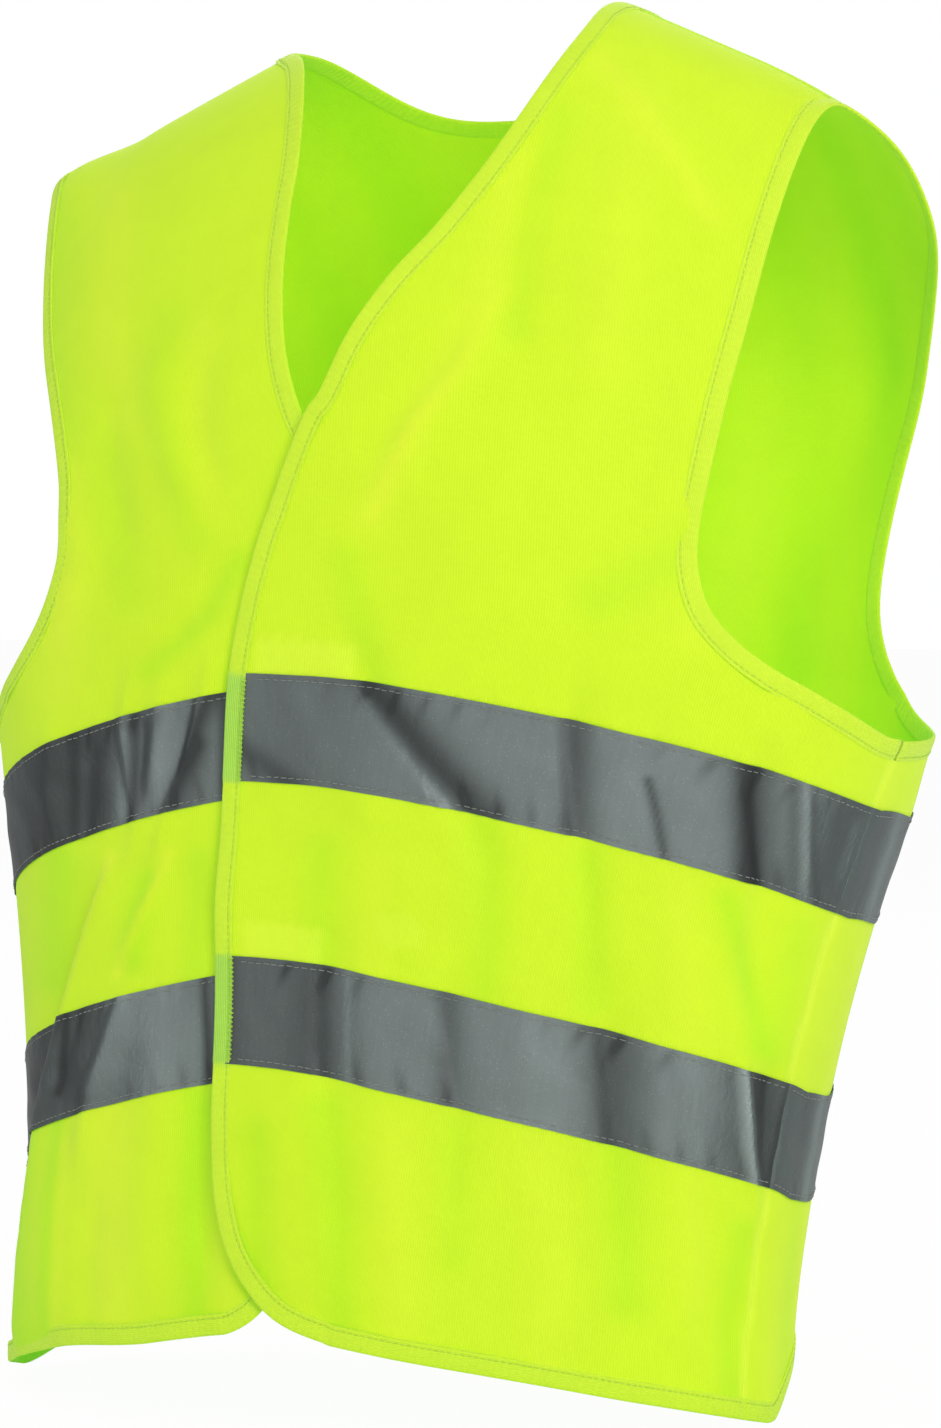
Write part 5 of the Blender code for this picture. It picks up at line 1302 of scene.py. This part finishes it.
grey = []
for lv, lab in zip(TAPE_LEVELS, ('lower', 'upper')):
    rows = lv + np.linspace(0, TAPE_WIDTH, 29)
    for side, word in (('L', 'left'), ('R', 'right')):
        sgn = 1.0 if side == 'L' else -1.0
        # the covered front's tape stops just inside its binding, which lies straight across any crease
        u0 = edge_u(side, rows) + sgn * 0.004 if side == 'L' else edge_u(side, rows) - 0.0078 / 0.2
        u1 = sgn * (seam_u(rows) - 0.0012)
        s0, s1 = arc_of(u0), arc_of(u1)
        m = int(round(np.abs(s1 - s0).mean() / 0.0021))
        t = np.linspace(0, 1, m + 1)
        if side == 'R':
            t = t[::-1]
        ss = s0[:, None] + (s1 - s0)[:, None] * t[None, :]
        uu = u_of_arc(ss)
        qq = np.repeat(rows[:, None], m + 1, 1)
        ob = ribbon("%s_tape_%s" % (lab, word), side, uu, qq, T0, T0 + TAPE, M_TAPE, tape_wrinkle,
                    {'shade': tape_shade(side, uu.ravel(), qq.ravel())})
        follow(ob, side, 'tape', '%s_tape_%s_flap' % (lab, word), '%s_tape_%s_side' % (lab, word))
        A, B_, N = [], [], []
        for row in TAPE_LINES:
            q = lv + row
            e0 = float(edge_u(side, q)) + sgn * 0.0095 / 0.2
            e1 = sgn * (float(seam_u(q)) - 0.004)
            us = u_of_arc(np.linspace(float(arc_of(e0)), float(arc_of(e1)), 400))
            a_, b_, n_ = stitch_row(side, np.stack([us, np.full(us.shape, q)], 1), T0 + TAPE + 0.00022, 0.0040, 0.0031)
            A.append(a_)
            B_.append(b_)
            N.append(n_)
        st = threads("%s_tape_stitching_%s" % (lab, word), np.vstack(A), np.vstack(B_), np.vstack(N), 0.00024, M_GREY)
        follow(st, side, 'tape')
    u0, u1 = seam_u(rows) + 0.0012, 2 * np.pi - seam_u(rows) - 0.0012
    s0, s1 = arc_of(u0), arc_of(u1)
    m = int(round(np.abs(s1 - s0).mean() / 0.0024))
    ss = s0[:, None] + (s1 - s0)[:, None] * np.linspace(0, 1, m + 1)[None, :]
    ub, qb = u_of_arc(ss), np.repeat(rows[:, None], m + 1, 1)
    ob = ribbon("%s_tape_across_back" % lab, 'B', ub, qb, T0, T0 + TAPE, M_TAPE, tape_wrinkle,
                {'shade': tape_shade('B', ub.ravel(), qb.ravel())})
    ride(ob, 'vest_body', 'tape', '%s_tape_back' % lab)
    A, B_, N = [], [], []
    for row in TAPE_LINES:
        q = lv + row
        us = u_of_arc(np.linspace(float(arc_of(float(seam_u(q)) + 0.006)),
                                  float(arc_of(2 * math.pi - float(seam_u(q)) - 0.006)), 700))
        a_, b_, n_ = stitch_row('B', np.stack([us, np.full(us.shape, q)], 1), T0 + TAPE + 0.00022, 0.0040, 0.0031)
        A.append(a_)
        B_.append(b_)
        N.append(n_)
    st = threads("%s_tape_stitching_back" % lab, np.vstack(A), np.vstack(B_), np.vstack(N), 0.00024, M_GREY)
    ride(st, 'vest_body', 'tape')

# ---------------------------------------------------------------- bindings
C = CLOTH * 1000
PROFILE = [(9.0, C + 0.08), (8.86, C + 0.42), (8.2, C + 0.58), (7.4, C + 0.50), (7.0, C + 0.40), (6.6, C + 0.50),
           (5.2, C + 0.66), (3.2, C + 0.70), (1.2, C + 0.66), (0.1, C + 0.55), (-0.65, C + 0.22), (-0.92, C - 0.25),
           (-0.65, C - 0.85), (0.1, -0.45), (1.2, -0.56), (3.2, -0.60), (5.2, -0.56), (7.0, -0.36), (8.6, -0.42),
           (9.0, -0.10)]


def over_tape(uq):
    out = np.zeros(len(uq))
    for lv in TAPE_LEVELS:
        out = np.maximum(out, band(uq[:, 1], lv, lv + TAPE_WIDTH, 0.002))
    return out


def bind(name, curves, sign, closed=False, step=0.0022, tape_lift=False):
    parts = [(pn, spaced(pn, c, step)) for pn, c in curves]
    if len(parts) > 1:
        parts = [(pn, c[:-1]) for pn, c in parts]
    pos, nor, uq, pan = frames_along(parts, sign)
    if closed:
        for _ in range(3):
            nor = unit(np.roll(nor, 1, 0) + 2 * nor + np.roll(nor, -1, 0))
    over = over_tape(uq) if tape_lift else np.zeros(len(uq))
    prof = np.array(PROFILE)
    inw = inward_dirs(pos, nor, sign, closed)
    pos = pos + nor * (over * 0.00050)[:, None]
    ob = sweep(name, pos, inw, nor, prof, M_BIND, closed, {'over': over})
    # lockstitch a little in from the binding's inner edge
    s = np.concatenate([[0], np.cumsum(np.linalg.norm(np.diff(pos, axis=0), axis=1))])
    total = s[-1]
    k = np.arange(0.002, total - 0.004, 0.0031)
    k = k + RNG.normal(0, 0.00009, len(k))
    line = pos + inw * 0.0070 + nor * (CLOTH + 0.00054)

    def at(arr, v):
        return np.stack([np.interp(v, s, arr[:, i]) for i in range(3)], 1)
    st = threads(name + "_stitching", at(line, k), at(line, k + 0.0024), unit(at(nor, k)), 0.00020, M_YELLOW)
    return ob, st, (pos, inw, nor, uq, s)


for side, word in (('L', 'left'), ('R', 'right')):
    sgn = 1.0 if side == 'L' else -1.0
    ob, st, (pos, inw, nor, uq, s) = bind(word + "_edge_binding", [(side, FRONT[side]['edge'])], sgn, False,
                                          0.0020, True)
    follow(ob, side, 'binding', word + '_front_edge_binding', word + '_neck_binding', word + '_side_hem_binding')
    follow(st, side, 'binding')
    # overlock teeth where the binding is sewn across the tape ends
    on = over_tape(uq) > 0.5
    on &= np.abs(uq[:, 0]) < 0.3
    A, B_, N = [], [], []
    for lv in TAPE_LEVELS:
        sel = on & (uq[:, 1] > lv) & (uq[:, 1] < lv + TAPE_WIDTH)
        ks = np.arange(s[sel].min() + 0.001, s[sel].max() - 0.0005, 0.0021)
        P = np.stack([np.interp(ks, s, pos[:, i]) for i in range(3)], 1)
        I = unit(np.stack([np.interp(ks, s, inw[:, i]) for i in range(3)], 1))
        N_ = unit(np.stack([np.interp(ks, s, nor[:, i]) for i in range(3)], 1))
        up = CLOTH + 0.00105
        A.append(P + I * 0.0080 + N_ * (up + 0.0001))
        B_.append(P + I * (0.0099 + RNG.normal(0, 0.0001, len(ks)))[:, None] + N_ * (up - 0.00006))
        N.append(N_)
    tooth = threads(word + "_edge_overlock", np.vstack(A), np.vstack(B_), np.vstack(N), 0.00048, M_YELLOW, 0.2)
    follow(tooth, side, 'binding')

ob, st, _ = bind("neck_binding_back", [('B', BACKC['neck'])], +1)
ride(ob, 'vest_body', 'binding', 'back_neck_binding')
ride(st, 'vest_body', 'binding')
ob, st, _ = bind("hem_binding_back", [('B', BACKC['hem'])], -1)
ride(ob, 'vest_body', 'binding', 'back_hem_binding')
ride(st, 'vest_body', 'binding')
for side, word in (('L', 'left'), ('R', 'right')):
    sgn = 1.0 if side == 'L' else -1.0
    ob, st, _ = bind(word + "_armhole_bound_edge", [(side, FRONT[side]['arm']), ('B', BACKC['arm_' + side][::-1])],
                     -sgn, True)
    ride(ob, 'vest_body', 'binding', word + '_armhole_binding')
    ride(st, 'vest_body', 'binding')

# ---------------------------------------------------------------- seams
for sgn, word in ((1.0, 'left'), (-1.0, 'right')):
    qs = np.linspace(0.010, UNDERARM - 0.010, 110)
    us = np.linspace(-0.036, 0.036, 9)
    uu = sgn * (seam_u(qs)[:, None] + us[None, :])
    if sgn < 0:
        uu = uu[:, ::-1]
    qq = np.repeat(qs[:, None], 9, 1)

    def ruffle(u, q):
        edge = np.abs(np.abs(u) - seam_u(q)) / 0.036
        return -0.0006 - 0.00035 * edge ** 2 * (1 + np.sin(2 * np.pi * q / 0.012 + np.sign(np.abs(u) - seam_u(q))))
    ob = ribbon(word + "_side_seam_allowance", 'B', uu, qq, -0.0010, -0.0005, M_CLOTH, ruffle,
                {'pale': np.full(uu.size, 0.5)})
    ride(ob, 'vest_body', 'seam', word + '_side_seam')
    # overlock thread along the allowance, seen on the inside
    k = np.arange(0.014, UNDERARM - 0.016, 0.0034)
    A, B_, N = [], [], []
    for e in (-1, 1):
        a_, n_ = surf('B', sgn * (seam_u(k) + e * 0.0365), k, -0.0019)
        b_, _ = surf('B', sgn * (seam_u(k + 0.0017) + e * 0.020), k + 0.0017, -0.0022)
        A.append(a_)
        B_.append(b_)
        N.append(-n_)
    st = threads(word + "_side_seam_overlock", np.vstack(A), np.vstack(B_), np.vstack(N), 0.00022, M_YELLOW)
    ride(st, 'vest_body', 'seam')
    # shoulder: bound allowance lying under the shoulder line
    pan = 'L' if sgn > 0 else 'R'
    x = np.linspace(NECK_HALF + 0.010, (TIP_L if sgn > 0 else TIP_R) - 0.010, 60)
    yy = np.linspace(-0.0085, 0.0085, 9)
    z = ridge_z(pan, x)
    nrm = unit(np.stack([SHOULDER_SLOPE + 4.0 * np.clip(x - 0.15, 0, None), 0 * x, 1 + 0 * x], 1))
    nrm[:, 0] *= sgn
    pts, low = [], []
    for j, y in enumerate(yy):
        sag = 0.0011 + 0.00022 * (y / 0.0085) ** 2 * (1 + np.sin(x * 520 + j))
        # follows the round of the shoulder on either side of the line
        fall = 0.30 * (1 - np.sqrt(np.clip(1 - (y / (0.13 if y < 0 else 0.17)) ** 2, 0, 1)))
        base = np.stack([sgn * x, RIDGE_Y + y + 0 * x, z - fall], 1)
        base = base + shoulder_lift(base) + SHIFT
        pts.append(base - nrm * (sag)[:, None])
        low.append(base - nrm * (sag + 0.0005)[:, None])
    P1, P2 = np.stack(pts, 0).reshape(-1, 3), np.stack(low, 0).reshape(-1, 3)
    c_ = len(x)
    i = np.arange((len(yy) - 1) * c_).reshape(len(yy) - 1, c_)[:, :-1].ravel()
    quads = np.stack([i, i + 1, i + c_ + 1, i + c_], 1)
    uv = np.stack([np.tile(x, len(yy)), np.repeat(yy, c_)], 1)
    ob = thick_sheet(word + "_shoulder_allowance", P1, P2, quads.tolist(), M_CLOTH, uv,
                     {'pale': np.full(len(P1), 0.5)})
    ride(ob, 'vest_body', 'seam', word + '_shoulder_seam')

# ---------------------------------------------------------------- closure patches
for lv, lab in zip(TAPE_LEVELS, ('lower', 'upper')):
    top = lv + TAPE_WIDTH + PATCH_ABOVE
    a0, a1 = math.radians(PATCH_ANGLE[0]), math.radians(PATCH_ANGLE[1])

    def patch_grid(nr, nc, dq, inset=0.0):
        uu = np.linspace(a0 + inset / 0.35, a1 - inset / 0.35, nc)
        qq = np.linspace(top - PATCH_HEIGHT + inset, top - inset, nr) + dq
        return np.repeat(uu[None, :], nr, 0), np.repeat(qq[:, None], nc, 1)
    # hooks on the inside of the left front
    uu, qq = patch_grid(26, 20, 0.0)
    ob = ribbon(lab + "_hook_tape", 'L', uu, qq, -0.0008, -0.0002, M_HOOK)
    ride(ob, 'left_flap', 'hook', lab + '_hook_patch')
    hu, hq = patch_grid(34, 30, 0.0, 0.0028)
    hu = hu + (np.arange(34) % 2)[:, None] * (hu[0, 1] - hu[0, 0]) * 0.5
    u_, q_ = hu.ravel(), hq.ravel()
    p0, n0 = surf('L', u_, q_, -0.0007)
    p1, _ = surf('L', u_, q_ + 0.00055, -0.00155)
    hooks = threads(lab + "_hook_bristles", p0, p1, np.tile(UP, (len(p0), 1)), 0.00014, M_HOOK, 0.4, 5)
    ride(hooks, 'left_flap', 'hook')
    # loops on the face of the right front, with a sewn border
    uu, qq = patch_grid(40, 32, RIGHT_LOWER)
    pile = 0.00016 * RNG.random(uu.size)

    def fluff(u, q, pile=pile):
        return pile
    ob = ribbon(lab + "_loop_tape", 'R', uu, qq, T0 + TAPE + 0.00035, T0 + TAPE + 0.0011, M_LOOP, fluff)
    ride(ob, 'right_flap', 'loop', lab + '_loop_patch')
    for pn, off, dq, who, fl in (('L', -0.00095, 0.0, 'hook', 'left_flap'),
                                 ('R', T0 + TAPE + 0.00135, RIGHT_LOWER, 'loop', 'right_flap')):
        A, B_, N = [], [], []
        i_ = 0.0022
        ua, ub = a0 + i_ / 0.35, a1 - i_ / 0.35
        qa, qb = top - PATCH_HEIGHT + i_ + dq, top - i_ + dq
        for (x0, y0), (x1, y1) in (((ua, qa), (ub, qa)), ((ub, qa), (ub, qb)), ((ub, qb), (ua, qb)), ((ua, qb), (ua, qa))):
            line = np.stack([np.linspace(x0, x1, 60), np.linspace(y0, y1, 60)], 1)
            a_, b_, n_ = stitch_row(pn, line, off, 0.0028, 0.0021)
            A.append(a_)
            B_.append(b_)
            N.append(n_ * (-1 if pn == 'L' else 1))
        st = threads("%s_%s_tape_stitching" % (lab, who), np.vstack(A), np.vstack(B_), np.vstack(N), 0.0002, M_YELLOW)
        ride(st, fl, who)

# ---------------------------------------------------------------- studio
bpy.ops.mesh.primitive_plane_add(size=30, location=(0, 0, -0.0006))
floor = bpy.context.object
floor.name = "studio_floor"
floor.data.materials.append(floor_material())

world = bpy.data.worlds.new("studio")
bpy.context.scene.world = world
world.use_nodes = True
wt = world.node_tree
bg = wt.nodes['Background']
bg.inputs['Color'].default_value = (1.0, 1.0, 1.0, 1)
bg.inputs['Strength'].default_value = WORLD_LIGHT
seen = wt.nodes.new('ShaderNodeBackground')            # plain white behind the object
seen.inputs['Color'].default_value = (1.0, 1.0, 1.0, 1)
path = wt.nodes.new('ShaderNodeLightPath')
pick = wt.nodes.new('ShaderNodeMixShader')
wt.links.new(path.outputs['Is Camera Ray'], pick.inputs[0])
wt.links.new(bg.outputs[0], pick.inputs[1])
wt.links.new(seen.outputs[0], pick.inputs[2])
wt.links.new(pick.outputs[0], wt.nodes['World Output'].inputs['Surface'])


def area(name, az, el, dist, size, energy, colour=(1, 1, 1)):
    data = bpy.data.lights.new(name, 'AREA')
    data.shape = 'RECTANGLE'
    data.size, data.size_y = size
    data.energy = energy
    data.color = colour
    ob = bpy.data.objects.new(name, data)
    bpy.context.scene.collection.objects.link(ob)
    a, e = math.radians(az), math.radians(el)
    ob.location = Vector((math.sin(a) * math.cos(e), -math.cos(a) * math.cos(e), math.sin(e))) * dist \
        + Vector((0, 0, 0.35))
    ob.rotation_euler = (Vector((0, 0, 0.35)) - ob.location).to_track_quat('-Z', 'Y').to_euler()
    return ob


area("key", 42, 18, 3.0, (1.1, 1.3), 44)
area("fill_left", -62, 12, 3.2, (1.4, 2.0), 20)
area("side_right", 120, 22, 3.0, (1.2, 2.0), 14)
area("back_rim", 205, 35, 3.2, (2.0, 1.6), 26)
area("overhead", 20, 80, 2.6, (2.4, 2.4), 16)

cam = bpy.data.cameras.new("camera")
cam.lens = FOCAL * 36.0 / 1428.0
cam.sensor_width = 36.0
cam.sensor_fit = 'AUTO'
cam.clip_end = 100
camera = bpy.data.objects.new("camera", cam)
bpy.context.scene.collection.objects.link(camera)
m = Matrix([list(RIGHT) + [0], list(UP) + [0], list(BACK) + [0], [0, 0, 0, 1]]).transposed()
m.translation = Vector(EYE + SHIFT)
camera.matrix_world = m
bpy.context.scene.camera = camera
bpy.context.scene.view_settings.view_transform = 'Standard'
